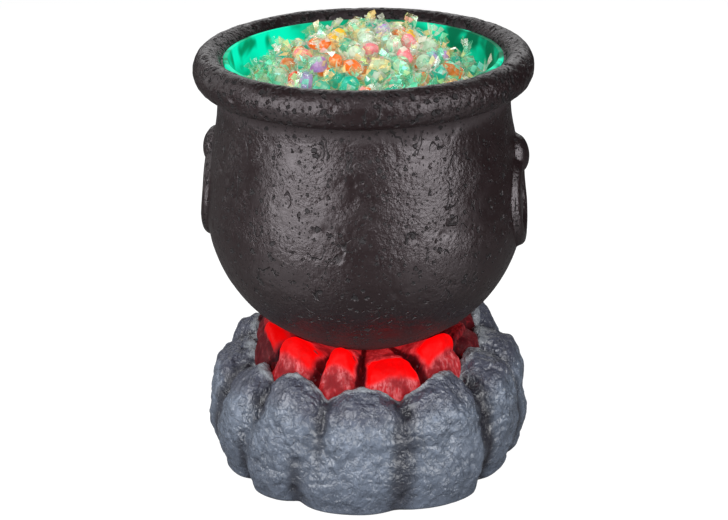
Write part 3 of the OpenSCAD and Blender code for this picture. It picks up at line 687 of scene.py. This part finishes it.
RIM_R, RIM_Z = 155.0, 419.5
RIM_HALF = (15.0, 18.5)
LEDGE_Z, LEDGE_R = 427.0, 137.0
LEDGE_ANGLE = 180 - math.degrees(math.asin((LEDGE_Z - RIM_Z) / RIM_HALF[1]))
CREVICE_ANGLE = -math.degrees(math.acos((NECK_R - RIM_R) / RIM_HALF[0]))


def add_pot_rim():
    columns = 880
    rows = 92
    a = np.radians(np.linspace(LEDGE_ANGLE, CREVICE_ANGLE, 400))
    arc = joined(RIM_R + RIM_HALF[0] * np.cos(a), RIM_Z + RIM_HALF[1] * np.sin(a))
    outer = resample(arc, rows)
    normal = profile_normals(outer)
    angles = np.arange(columns) / columns * 2 * math.pi
    skin = turned(outer, angles)
    out = turned(normal, angles)
    rough = 0.5 * noise(skin, 60, 21) + 0.3 * fractal(skin, 17, 2, 22) + 0.22 * noise(skin, 6, 25)
    rough = rough + dents(skin, 15, 0.7, 26, 0.5) + dents(skin, 8, 0.8, 27, 0.5)
    place = np.linspace(0, 1, rows)[:, None]
    fade = ease(place, 0, 0.08) * (1 - ease(place, 0.93, 1))
    skin = skin + out * (rough * fade)[..., None]
    skirt = [[139.5, 411.5], [139.5, 416], [137, 416], [LEDGE_R, LEDGE_Z - 0.6], [LEDGE_R + 0.6, LEDGE_Z],
             [outer[0, 0] - 1.0, LEDGE_Z]]
    make_ring("cauldron_rim", np.concatenate([skin, turned(np.array(skirt), angles)]),
              pot_finish("cast_black_rim", 1.35, 0.40, rim=True), "cauldron")


# ---------- stones ----------

STONE_CREASES = np.array([24, 54, 85, 115, 145, 175, 207, 231, 261, 292, 329, 354.0])
STONE_LEANS = np.array([2, -3, 3, -2, 3, -3, -2, -5, -9, -3, -2, -3.0])
STONE_CRESTS = np.array([130, 124, 120, 126, 122, 118, 119, 129, 121, 126, 128, 127.0])
STONE_SKEWS = np.array([2, -3, 3, -2, 2, -3, 3, -5, 1, -1, 4, -2.0])
STONE_FEET = np.array([161, 164, 159, 163, 160, 160, 160, 164.5, 168.5, 168, 156, 161])
STONE_CREASE_FEET = np.array([154, 152, 154, 151, 153, 156, 155, 150, 155, 160, 149, 151.0])
STONE_CREASE_CREST = 107.0
STONE_FOOT_Z, STONE_LIP_Z = 1.5, 100.0


def lump_of(creases, degrees):
    """Index of the lump that each angle lies in, and how far across it, from -1 to 1."""
    index = (np.searchsorted(creases, degrees, side="right") - 1) % len(creases)
    low, high = creases[index], creases[(index + 1) % len(creases)]
    return index, 2 * ((degrees - low) % 360) / ((high - low) % 360) - 1


def bulge(across, power=3.2, soft=0.10):
    """Height of a lump from 0 in its creases to 1 in its middle, with rounded creases."""
    near = 1 - np.abs(across)
    return 1 - np.clip(1 + soft - np.sqrt(near ** 2 + soft ** 2), 0, 1) ** power


def overhang(degrees):
    """How far the stones lean in over the embers, in millimetres, at the right and the left."""
    right = ((degrees - 353 + 180) % 360 - 180) / 34
    left = (degrees - 196) / 27
    return 17 * np.exp(-right ** 4) + 14 * np.exp(-left ** 4)


def add_stones():
    columns = 760
    rows = 112
    angles = np.arange(columns) / columns * 2 * math.pi
    degrees = np.degrees(angles)
    circle = circle_of(160, angles)
    wander = np.stack([noise(circle + [0, 0, 900.0 * s], 46, 31) for s in (0, 0.11, 0.22, 0.33, 0.44)])

    def look(share):
        """Lump index, place across it and bulge, that share of the way down a leaning crease."""
        k = min(share * 4, 3.999)
        drift = wander[int(k)] * (1 - k % 1) + wander[int(k) + 1] * (k % 1)
        i, x = lump_of(STONE_CREASES + share * STONE_LEANS, (degrees + 2.2 * drift) % 360)
        return i, x, bulge(x)

    i0, x0, b0 = look(0.0)
    i1, x1, b1 = look(1.0)
    past = (x1 + 1) / 2
    next_foot = STONE_CREASE_FEET[(i1 + 1) % len(STONE_CREASE_FEET)]
    in_crease = STONE_CREASE_FEET[i1] * (1 - past) + next_foot * past
    foot = in_crease * (1 - b1) + STONE_FEET[i1] * b1
    belly = 162.5 + 4.5 * look(0.5)[2]
    upper = 157 + 7.5 * look(0.25)[2]
    low = (foot + belly) / 2 + 2
    top = STONE_CRESTS[i0] + STONE_SKEWS[i0] * x0
    h = STONE_CREASE_CREST * (1 - b0) + top * b0
    lean = overhang(degrees)
    section = [  # radius, height and paleness, from the lip inside over the crest and down to the floor
        (131.5, STONE_LIP_Z - 3, 0), (127.5 - 0.3 * lean, STONE_LIP_Z, 0), (127.5 - 0.8 * lean, h - 10, 0),
        (128.0 + 0.6 * b0 - lean, h - 3.0, 0.9), (128.8 + b0 - lean, h + 0.2, 1),
        (130.6 + 1.5 * b0 - 0.85 * lean, h + 1.0, 1), (134.5 + 3 * b0 - 0.5 * lean, h - 1.6, 0.35),
        (140.5 + 6 * b0 - 0.15 * lean, h - 6.5, 0),
        (146.5 + 8 * b0, h - 14, 0), (151.5 + 9 * b0, h - 26, 0),
        (upper, 0.55 * 75 + 0.45 * (h - 26), 0), (upper + 0.6, 66, 0), (belly, 48, 0), (low, 27, 0),
        (foot + 0.6, 11, 0), (foot + 0.4, 6, 0),
        (foot + 0.2, 3.4, 0), (foot - 1.4, STONE_FOOT_Z + 0.2, 0), (foot - 4, STONE_FOOT_Z, 0),
    ]
    skin = smooth_rows([joined(*key, 0 * angles)[..., :3] for key in section], rows)
    inner = smooth_rows([joined(r, z, 0 * angles) for r, z in [
        (foot - 7, STONE_FOOT_Z), (low - 5, 27), (belly - 5, 48), (upper - 4, 75),
        (147 + 8 * b0, h - 27), (138 + 4 * b0, h - 14), (133, STONE_LIP_Z + 1)]], 12)
    section_grid = np.concatenate([skin, inner])
    grid = bent_round(section_grid, angles)
    normal = -grid_normals(grid)
    facing = np.sign(np.sum(normal[rows // 2] * grid[rows // 2] * [1, 1, 0]))
    normal *= facing
    near, tag = scatter(grid, 40, 47)
    folds = noise(grid * [1, 1, 0.34], 15, 49)
    rough = 1.9 * noise(grid, 44, 41) + 1.3 * fractal(grid, 21, 2, 42) + 0.7 * fractal(grid, 8.5, 2, 45)
    rough = rough + (1.6 + 1.6 * tag) * (0.75 - np.clip(near, 0, 1.2) ** 2) + 1.0 * folds
    rough = rough + 2.2 * noise(grid, 12, 50) * ease(grid[..., 2], h - 34, h - 12)
    rough = rough + dents(grid, 20, 1.6, 48, 0.5)
    rough = rough + 0.8 * (0.5 - np.abs(noise(grid * [1, 1, 0.7], 9.5, 55))) + 0.5 * noise(grid, 4.6, 56)
    fade = np.ones((len(grid), 1))
    fade[rows:] = 0
    fade[:rows, 0] = ease(np.arange(rows), 2, rows * 0.17) * (1 - ease(np.arange(rows), rows - 7, rows - 1))
    at_floor = ease(grid[..., 2], STONE_FOOT_Z, 14)
    grid = grid + normal * (rough * fade * (0.35 + 0.65 * at_floor))[..., None]
    grid[..., 2] = np.maximum(grid[..., 2], STONE_FOOT_Z)
    jag = 1.3 * noise(grid, 6, 51) + 0.9 * noise(grid, 17, 52)
    pale = section_grid[..., 2]
    grid[..., 2] += jag * pale
    share_down = np.clip((120 - grid[..., 2]) / 118, 0, 1)
    b_here = b0 * (1 - share_down) + b1 * share_down
    # How raised the surface is: the finish paints shade into the creases, where this is low.
    rise = ease(b_here, 0.05, 0.75) + 0.10 * rough
    # Near the crest: the finish paints these tops darker, as a dark reflection of the pot.
    top = ease(grid[..., 2] + 4 * noise(grid, 14, 54), h - 32, h - 9)
    pale = ease(pale * (1 + 0.7 * noise(grid, 8, 53)), 0.4, 0.9)
    stones = make_ring("fire_stones", grid, finishes["stone_grey"], "cauldron",
                       {"rise": np.clip(rise, 0, 1), "pale": pale, "top": top})
    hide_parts("stone_ring")


def smooth_rows(keys, count):
    """Rows of points on a smooth line through the key rows, evenly spaced along the average section."""
    keys = np.stack(keys)
    n = len(keys)
    fine = []
    for k in range(n - 1):
        p0, p1, p2, p3 = keys[max(k - 1, 0)], keys[k], keys[k + 1], keys[min(k + 2, n - 1)]
        for t in np.linspace(0, 1, 12, endpoint=False):
            fine.append(0.5 * (2 * p1 + (p2 - p0) * t + (2 * p0 - 5 * p1 + 4 * p2 - p3) * t * t
                               + (3 * p1 - p0 - 3 * p2 + p3) * t ** 3))
    fine.append(keys[-1])
    fine = np.stack(fine)
    mean = fine.mean(1)
    t = np.concatenate([[0], np.cumsum(np.linalg.norm(np.diff(mean, axis=0), axis=1))])
    at = np.linspace(0, t[-1], count)
    index = np.clip(np.searchsorted(t, at, side="right") - 1, 0, len(t) - 2)
    share = ((at - t[index]) / (t[index + 1] - t[index]))[:, None, None]
    return fine[index] * (1 - share) + fine[index + 1] * share


# ---------- embers ----------

EMBER_CREASES = np.array([11, 41, 72, 102, 131, 160, 189, 218, 250, 274, 306, 338.0])
EMBER_DROPS = np.array([4, 0, 6, 1, 7, 2, 5, 1, 0, 10, 0, 8.0])
# How brightly each lump's top glows, and how much painted light its front gets; lumps under the stones'
# overhang get painted shade.
EMBER_LIT = np.array([0.05, 0.9, 1, 0.8, 1, 0.35, 0.95, 1, 1, 1, 1, 0.12])
EMBER_FRONT_LIGHT = np.array([0, 0.8, 0.9, 0.7, 0.9, 0.1, 0.12, 0.9, 1, 1, 0.65, 0.0])
EMBER_LIFTS = np.array([0, 0, 0, 0, 0, 0, 2.5, 4, 1.5, 0, 4, 0.0])
LOW_EMBER = 9
EMBER_IN_R, EMBER_IN_Z, EMBER_WALL = 47.5, 129.2, 2.4
EMBER_ROWS = [  # (radius, height) in a crease and on a lump, share of the lump's drop, glow
    ((126, 103), (126.5, 107), 0.0, 0.0), ((120, 110), (124.5, 121), 0.0, 0.0),
    ((111, 116), (119, 135), 0.0, 0.18), ((102, 121), (110.5, 147.5), 0.7, 1.0),
    ((93, 124.5), (101, 153), 1.0, 1.0), ((85, 126.5), (91, 148), 1.0, 0.62),
    ((76, 128), (80, 142), 0.9, 0.2), ((67, 128.5), (68, 136.5), 0.7, 0.1),
    ((58, 129), (58, 131.5), 0.2, 0.1),
]
# How far each row follows the stones' lean and a raised lump, and how the low lump differs.
EMBER_LEANS = [0.4, 0.95, 0.75, 0.35, 0, 0, 0, 0, 0]
LIFT_SHARES = [0, 0, 0, 1.0, 1.0, 0.5, 0, 0, 0]
LOW_GLOWS = [0, 0, 0.72, 0, 0, 0, 0, 0, 0]
LOW_DIPS = [0, 0, 0, 0, 0, 4.0, -1.0, 0, 0]


def add_embers():
    columns = 700
    rows = 112
    angles = np.arange(columns) / columns * 2 * math.pi
    degrees = np.degrees(angles)
    circle = circle_of(100, angles)
    i, x = lump_of(EMBER_CREASES, (degrees + 2.0 * noise(circle, 30, 61)) % 360)
    b = bulge(x, 4.6, 0.09)
    dome = bulge(x, 2.6, 0.14)
    drop = EMBER_DROPS[i]
    lift = EMBER_LIFTS[i]
    lean = overhang(degrees)
    low = (i == LOW_EMBER) * 1.0
    keys = [joined(127.5, 99.7, 0 * angles)]
    for k, ((cr, cz), (lr, lz), share, glow) in enumerate(EMBER_ROWS):
        painted_glow = glow + low * LOW_GLOWS[k]
        dip = low * LOW_DIPS[k] - lift * LIFT_SHARES[k]
        out = 1.05 * lift * LIFT_SHARES[k]
        r = cr + (lr + out - cr) * b - EMBER_LEANS[k] * lean
        z = cz + (lz - share * drop - dip - cz) * (0.4 * b + 0.6 * dome)
        keys.append(joined(r, z, painted_glow))
    keys.append(joined(EMBER_IN_R, EMBER_IN_Z, 0 * angles))
    skin = smooth_rows(keys, rows)
    under = [joined(EMBER_IN_R, EMBER_IN_Z - EMBER_WALL, 0 * angles)]
    for (cr, cz), (lr, lz), share, _ in EMBER_ROWS[::-2]:
        under.append(joined(cr + (lr - cr) * b - 3, cz + (lz - share * drop - cz) * b - 4.5, 0))
    under.append(joined(124, 98, 0 * angles))
    section = np.concatenate([skin, np.stack(under)])
    grid = bent_round(section, angles)
    normal = -grid_normals(grid)
    normal *= np.sign(normal[rows // 2, 0, 2])
    rough = 1.3 * noise(grid, 26, 63) + 0.9 * fractal(grid, 12, 2, 64) + 0.35 * noise(grid, 4.5, 66)
    ridges = 1.0 - np.abs(noise(grid * [1, 1, 0.4], 13, 67)) * 2
    fade = np.zeros((len(grid), 1))
    fade[:rows, 0] = ease(np.arange(rows), 0, 6) * (1 - ease(np.arange(rows), rows * 0.8, rows - 1))
    clear_of_pot = 1 - ease(pot_gap(grid), 6.0, 0.5)
    grid = grid + normal * ((rough + 0.8 * ridges) * fade * clear_of_pot)[..., None]
    on_top = np.arange(len(grid))[:, None] < rows
    # Glow painted on the lump tops as emission, and painted light on the fronts, with painted shade under
    # the overhang.
    painted_glow = section[..., 2] + 0.12 * noise(grid, 13, 68)
    painted_glow = ease(painted_glow, 0.08, 0.98) * ease(b + 0.06 * noise(grid, 9, 69), 0.30, 0.78)
    painted_glow = painted_glow * EMBER_LIT[i] * on_top
    lit = EMBER_FRONT_LIGHT[i] * np.ones(on_top.shape)
    rise = ease(b + 0.15 * noise(grid, 9, 69), 0.15, 0.8)
    embers = make_ring("glowing_embers", grid, finishes["ember_red"], "cauldron",
                       {"rise": rise, "ember_glow": painted_glow, "ember_lit": lit})
    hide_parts("ember_insert")


def pot_gap(points):
    """Rough distance of points from the outside of the pot, in millimetres."""
    z = np.clip(points[..., 2], POT_FLOOR_Z, NECK_Z)
    out = np.hypot(points[..., 0], points[..., 1]) - pot_radius(z)
    return np.maximum(out, POT_FLOOR_Z - points[..., 2])


# ---------- sweets ----------

BOWL_LIP_Z = 427.0
BOWL_MOUTH_R = 134.0
BOWL_TAPER = math.tan(math.radians(12))
HEAP_TOP_Z = 459.5
SWEET_GAP = 18.5
HEAP_EDGE_ANGLES = [0, 53, 98, 143, 188, 233, 278, 323, 360]
HEAP_EDGES = [408, 402, 410, 402, 402, 418, 429, 421, 408]
HEAP_CROWN = 452.0
HEAP_SOFT = 6.0
HEAP_FLOOR_Z = 340.0
LOOSE_R = 137.5
NECK_X = 11
FILM_BODY = [(-9.4, 0.62), (-6.5, 0.93), (-2.4, 1.04), (2.2, 1.02), (6.3, 0.95), (9.4, 0.6)]
CORE_SHAPES = [  # half length, half width, half height, squareness, sides, steps
    (9.5, 7.0, 5.2, 0.62, 14, 9), (9.0, 6.2, 6.0, 0.85, 16, 9),
    (7.4, 7.4, 7.0, 1.0, 16, 9), (8.5, 7.0, 6.0, 0.9, 6, 5),
]
CORE_CHANCES = [0.4, 0.2, 0.2, 0.2]
SWEET_GLOW = 0.40
SWEETS = {  # colour and chance
    "orange": ((1.0, 0.17, 0.003), 0.26), "yellow": ((1.0, 0.56, 0.02), 0.21),
    "pink": ((0.95, 0.22, 0.25), 0.14), "lavender": ((0.55, 0.30, 0.75), 0.06),
    "red": ((0.95, 0.07, 0.01), 0.04), "teal": ((0.0, 0.50, 0.33), 0.11),
    "clear": ((0.55, 0.80, 0.55), 0.18),
}
FILMS = {  # tint, tint of the facets with painted glints, and how solid it looks; the green film's tint is painted green light from the bowl
    "clear": ((0.08, 0.17, 0.10), (0.50, 0.51, 0.41), 0.02),
    "green_lit": ((0.0, 0.36, 0.17), (0.14, 0.66, 0.42), 0.22),
    "opal": ((0.62, 0.27, 0.01), (0.72, 0.54, 0.22), 0.12),
}
rng = np.random.default_rng(20)


def heap_level(x, y):
    """Height of the heap's top: highest in the middle, lower along the walls, and lowest at the sides."""
    edge = np.interp(np.degrees(np.arctan2(y, x)) % 360, HEAP_EDGE_ANGLES, HEAP_EDGES)
    out = np.hypot(x, y - 6) / 130
    return edge + (HEAP_CROWN + 2 * np.sin(x / 19) * np.cos(y / 23) - edge) * (1 - ease(out, 0.25, 1.0))


def wall_radius(z):
    """Inner radius of the bowl at height z."""
    return BOWL_MOUTH_R - np.clip(BOWL_LIP_Z - z, 0, None) * BOWL_TAPER


def random_turn(tilt=1.0):
    """A random rotation; tilt below 1 keeps the X axis nearer to level."""
    spin = rng.uniform(0, 2 * math.pi, 2)
    lean = tilt * rng.uniform(-1, 1) * math.pi / 2
    turn = Matrix.Rotation(spin[0], 3, "Z") @ Matrix.Rotation(lean, 3, "Y")
    return np.array(turn @ Matrix.Rotation(spin[1], 3, "X"))


def tube_mesh(loops):
    """A closed tube through loops of points, with flat ends."""
    n, m = len(loops), len(loops[0])
    faces = [(i * m + j, i * m + (j + 1) % m, (i + 1) * m + (j + 1) % m, (i + 1) * m + j)
             for i in range(n - 1) for j in range(m)]
    faces += [tuple(range(m))[::-1], tuple((n - 1) * m + j for j in range(m))]
    return np.concatenate(loops), faces


def core_shape(kind):
    """A boiled sweet about 20 mm long: a pillow, a barrel, a ball or a cut gem."""
    long, wide, tall, square, sides, steps = CORE_SHAPES[kind]
    loops = []
    for t in np.linspace(-1, 1, steps):
        t = t * 0.985
        size = (1 - abs(t) ** (2 / square)) ** (square / 2)
        a = np.arange(sides) / sides * 2 * math.pi
        c, s = np.cos(a), np.sin(a)
        y = wide * size * np.sign(c) * np.abs(c) ** square
        z = tall * size * np.sign(s) * np.abs(s) ** square
        loops.append(joined(long * t, y, z))
    return tube_mesh(loops)


def film_shape(seed):
    """Clear film wrapped round a sweet: a crumpled body, twisted necks and pleated fans at both ends."""
    local = np.random.default_rng(seed)
    half = 6
    fan = local.uniform(9, 14, 2)
    spread = local.uniform(7, 11, 2)
    pleats = [(0.2, 0.4), (0.55, 0.72), (1.0, 1.0)]
    stations = [(-NECK_X - out * fan[0], "fan", 0, open_) for out, open_ in pleats[::-1]]
    stations.append((-NECK_X, "neck", 0, 0))
    stations += [(x, "body", 0, amount) for x, amount in FILM_BODY]
    stations.append((NECK_X, "neck", 1, 0))
    stations += [(NECK_X + out * fan[1], "fan", 1, open_) for out, open_ in pleats]
    u = np.concatenate([np.linspace(-1, 1, half), np.linspace(1, -1, half)])
    side = np.repeat([1.0, -1.0], half)
    zig = np.tile(np.where(np.arange(half) % 2, 1.0, -1.0), 2)
    zig[half:] = zig[:half][::-1]
    twist = local.uniform(-1.2, 1.2, 2)
    loops = []
    for x, kind, end, amount in stations:
        if kind == "body":
            a = side * math.pi * (1 - (u + 1) / 2)
            swell = amount * (1 + 0.24 * local.uniform(-1, 1, len(u)))
            y, z = 8.6 * swell * np.cos(a), 7.6 * swell * np.sin(a) + side * 0.3
        elif kind == "neck":
            y, z = 1.5 * u, side * (0.35 + 1.0 * (1 - u ** 2))
        else:
            y = spread[end] * amount * u
            z = side * 0.14 + zig * 2.4 * amount + 1.5 * amount * local.uniform(-1, 1) * u
            turn = twist[end] * amount
            y, z = y * math.cos(turn) - z * math.sin(turn), y * math.sin(turn) + z * math.cos(turn)
        ragged = 0.9 * zig * amount if kind == "fan" and amount == 1 else 0
        loops.append(joined(x + ragged, y, z))
    return tube_mesh(loops)


def sweet_finish(name, colour, glow):
    f = Finish(name, roughness=0.18)
    cloud = f.noise(160, 2.0)
    deep = tuple(0.55 * c for c in colour)
    pale = tuple(0.50 * c + 0.05 for c in colour)
    f.set("Base Color", f.mix(f.remap(cloud, 0.35, 0.7), deep, pale))
    # The sweets glow with painted light in their own colour, standing in for light shining through them.
    f.set("Emission Color", colour)
    f.set("Emission Strength", f.remap(cloud, 0.3, 0.7, 0.8 * glow, 1.2 * glow))
    f.bump(f.noise(420, 2.0), 0.0006, 0.6)
    return f.material


def film_finish(name, tint, glint, solid):
    """Crisp clear film in facets: nearly clear, or bright with painted glints that glow, or with a painted
    flash of another colour.
    """
    f = Finish(name, roughness=0.06, IOR=1.6, Specular_IOR_Level=1.0)
    facet = f.attribute("facet")
    # Painted rainbow glints on some facets.
    turn = f.math("FRACT", f.times(facet, 9.0))
    hue = f.math("FRACT", f.remap(turn, 0.0, 1.0, 0.94, 1.50, smooth=False))
    painted_rainbow_glint = add(f.tree, "CombineColor", {0: hue, 1: 0.62, 2: 0.80}, mode="HSV").outputs[0]
    colour = f.mix(f.remap(facet, 0.3, 0.8, smooth=False), tint, glint)
    chosen = f.math("GREATER_THAN", f.math("FRACT", f.times(facet, 31.0)), 0.72)
    colour = f.mix(f.times(chosen, 0.75), colour, painted_rainbow_glint)
    f.set("Base Color", colour)
    facing = add(f.tree, "LayerWeight", {"Blend": 0.3}).outputs["Facing"]
    cover = f.plus(f.remap(facing, 0.3, 1.0, 0.0, 0.26), f.remap(facet, 0.5, 1.0, solid, 0.74))
    f.set("Alpha", f.times(cover, f.remap(f.noise(110, 2.0), 0.35, 0.65, 0.75, 1.15)))
    # Painted glints: the brighter facets glow.
    f.set("Emission Color", colour)
    f.set("Emission Strength", f.remap(facet, 0.50, 1.0, 0.0, 0.36))
    f.bump(f.noise(230, 2.0), 0.0004, 0.7)
    return f.material


def add_sweets():
    spots = []
    tries = 9000
    for _ in range(tries):
        a, r = rng.uniform(0, 2 * math.pi), 131 * math.sqrt(rng.uniform(0, 1))
        x, y = r * math.cos(a), r * math.sin(a)
        z = float(heap_level(x, y)) - rng.choice([6, 20, 34], p=[0.6, 0.3, 0.1]) - rng.uniform(0, 4)
        if r > wall_radius(z) - 8:
            continue
        p = np.array([x, y, z])
        if all(np.linalg.norm((p - q) * [1, 1, 1.1]) > SWEET_GAP for q in spots):
            spots.append(p)
    names = list(SWEETS)
    share = [chance for _, chance in SWEETS.values()]
    films = {key: film_finish("film_" + key, *look) for key, look in FILMS.items()}
    batches = {key: ([], [], 0) for key in names + ["film_" + k for k in films]}
    cores = [core_shape(k) for k in range(len(CORE_SHAPES))]
    wraps = [film_shape(500 + k) for k in range(10)]

    def put(key, shape, turn, spot, size):
        """Adds a shape to a batch, pressed inside the bowl and under the heap's top."""
        vertices, faces, start = batches[key]
        p = (shape[0] * size) @ turn.T + spot
        limit = np.where(p[:, 2] < BOWL_LIP_Z + 2, wall_radius(p[:, 2]) - 0.8, LOOSE_R)
        r = np.maximum(np.hypot(p[:, 0], p[:, 1]), 1e-6)
        p[:, :2] *= np.minimum(1, limit / r)[:, None]
        soft_z = HEAP_TOP_Z - HEAP_SOFT
        pressed = soft_z + HEAP_SOFT * np.tanh((p[:, 2] - soft_z) / HEAP_SOFT)
        p[:, 2] = np.where(p[:, 2] > soft_z, pressed, p[:, 2])
        vertices.append(p)
        faces.extend(tuple(v + start for v in face) for face in shape[1])
        batches[key] = (vertices, faces, start + len(p))

    for spot in spots:
        turn = random_turn(0.75)
        near_wall = float(ease(math.hypot(spot[0], spot[1] - 12) / 125, 0.40, 0.90))
        colour = names[rng.choice(len(names), p=share)]
        # Near the green wall more sweets are teal: painted green light from the bowl.
        if rng.uniform() < 0.5 * near_wall:
            colour = "teal"
        put(colour, cores[rng.choice(len(cores), p=CORE_CHANCES)], turn, spot, rng.uniform(0.9, 1.2))
        # Near the wall more wraps take the green film: painted green light from the bowl.
        green_lit = 0.12 + 0.55 * near_wall
        wrap = rng.choice(list(films), p=[0.65 * (1 - green_lit), green_lit, 0.35 * (1 - green_lit)])
        put("film_" + wrap, wraps[rng.integers(len(wraps))], turn, spot, rng.uniform(1.0, 1.25))
    for key, (vertices, faces, _) in batches.items():
        if not vertices:
            continue
        is_film = key.startswith("film_")
        if is_film:
            material = films[key.removeprefix("film_")]
        else:
            material = sweet_finish("sweet_" + key, SWEETS[key][0], SWEET_GLOW)
        made = make_piece("sweets_" + key, (np.concatenate(vertices) * MM).tolist(), faces, material,
                          "bowl", smooth=not is_film)
        facets = made.data.attributes.new("facet", "FLOAT", "FACE")
        facets.data.foreach_set("value", rng.uniform(0, 1, len(faces)).astype(np.float32))
        if not is_film:
            made.data.set_sharp_from_angle(angle=math.radians(40))
    add_heap_bed()


def add_heap_bed():
    """The sweets further down in the heap, as one lumpy mass that the top ones lie on."""
    columns, rows = 120, 34
    angles = np.arange(columns) / columns * 2 * math.pi
    share = np.linspace(0.02, 1, rows)[:, None]
    x, y = 122 * share * np.cos(angles), 122 * share * np.sin(angles)
    top = joined(x, y, heap_level(x, y) - 26)
    top[..., 2] += 4 * noise(top, 16, 71) + 2 * noise(top, 7, 72)
    limit = wall_radius(top[..., 2]) - 1.5
    r = np.hypot(top[..., 0], top[..., 1])
    top[..., :2] *= np.minimum(1, limit / r)[..., None]
    low, side = HEAP_FLOOR_Z, HEAP_FLOOR_Z + 20
    under = turned(np.array([[wall_radius(side) - 4, side], [90, low], [30, low], [2.4, low]]), angles)
    f = Finish("sweet_bed", roughness=0.25)
    which = f.cells(70, output="Color")
    tint = add(f.tree, "SeparateColor", {0: which}).outputs[0]
    f.set("Base Color", f.mix(tint, (0.02, 0.50, 0.28), (0.6, 0.5, 0.2)))
    # Painted green light from the bowl: the lower sweets glow green.
    f.set("Emission Color", (0.02, 0.60, 0.32))
    f.set("Emission Strength", f.remap(f.noise(90, 2.0), 0.3, 0.7, 0.05, 0.6))
    f.bump(f.cells(120), 0.003, 0.8)
    make_ring("sweets_bed", np.concatenate([top, under]), f.material, "bowl")


# ---------- floor ----------


def add_floor():
    """A pale floor that the camera sees as white, as in the photograph."""
    mesh = bpy.data.meshes.new("floor")
    corners = [(x * FLOOR_HALF, y * FLOOR_HALF, 0) for x, y in ((-1, -1), (1, -1), (1, 1), (-1, 1))]
    mesh.from_pydata(corners, [], [(0, 1, 2, 3)])
    floor = in_scene("floor", mesh)
    f = Finish("floor", roughness=0.7)
    f.set("Base Color", f.mix(f.noise(3), (0.15, 0.15, 0.15), (0.17, 0.17, 0.17)))
    seen = add(f.tree, "LightPath").outputs["Is Camera Ray"]
    f.set("Emission Color", (1, 1, 1))
    f.set("Emission Strength", f.times(seen, FLOOR_GLOW))
    mesh.materials.append(f.material)


add_world()
add_camera()
add_floor()
for softbox in SOFTBOXES:
    add_softbox(*softbox)
for bounce in BOUNCES:
    add_bounce(*bounce)
finish_cad_nodes()
add_pot_wall()
add_pot_rim()
add_stones()
add_embers()
add_sweets()
bpy.context.scene.view_settings.view_transform = "Standard"
bpy.context.scene.cycles.transparent_max_bounces = 16
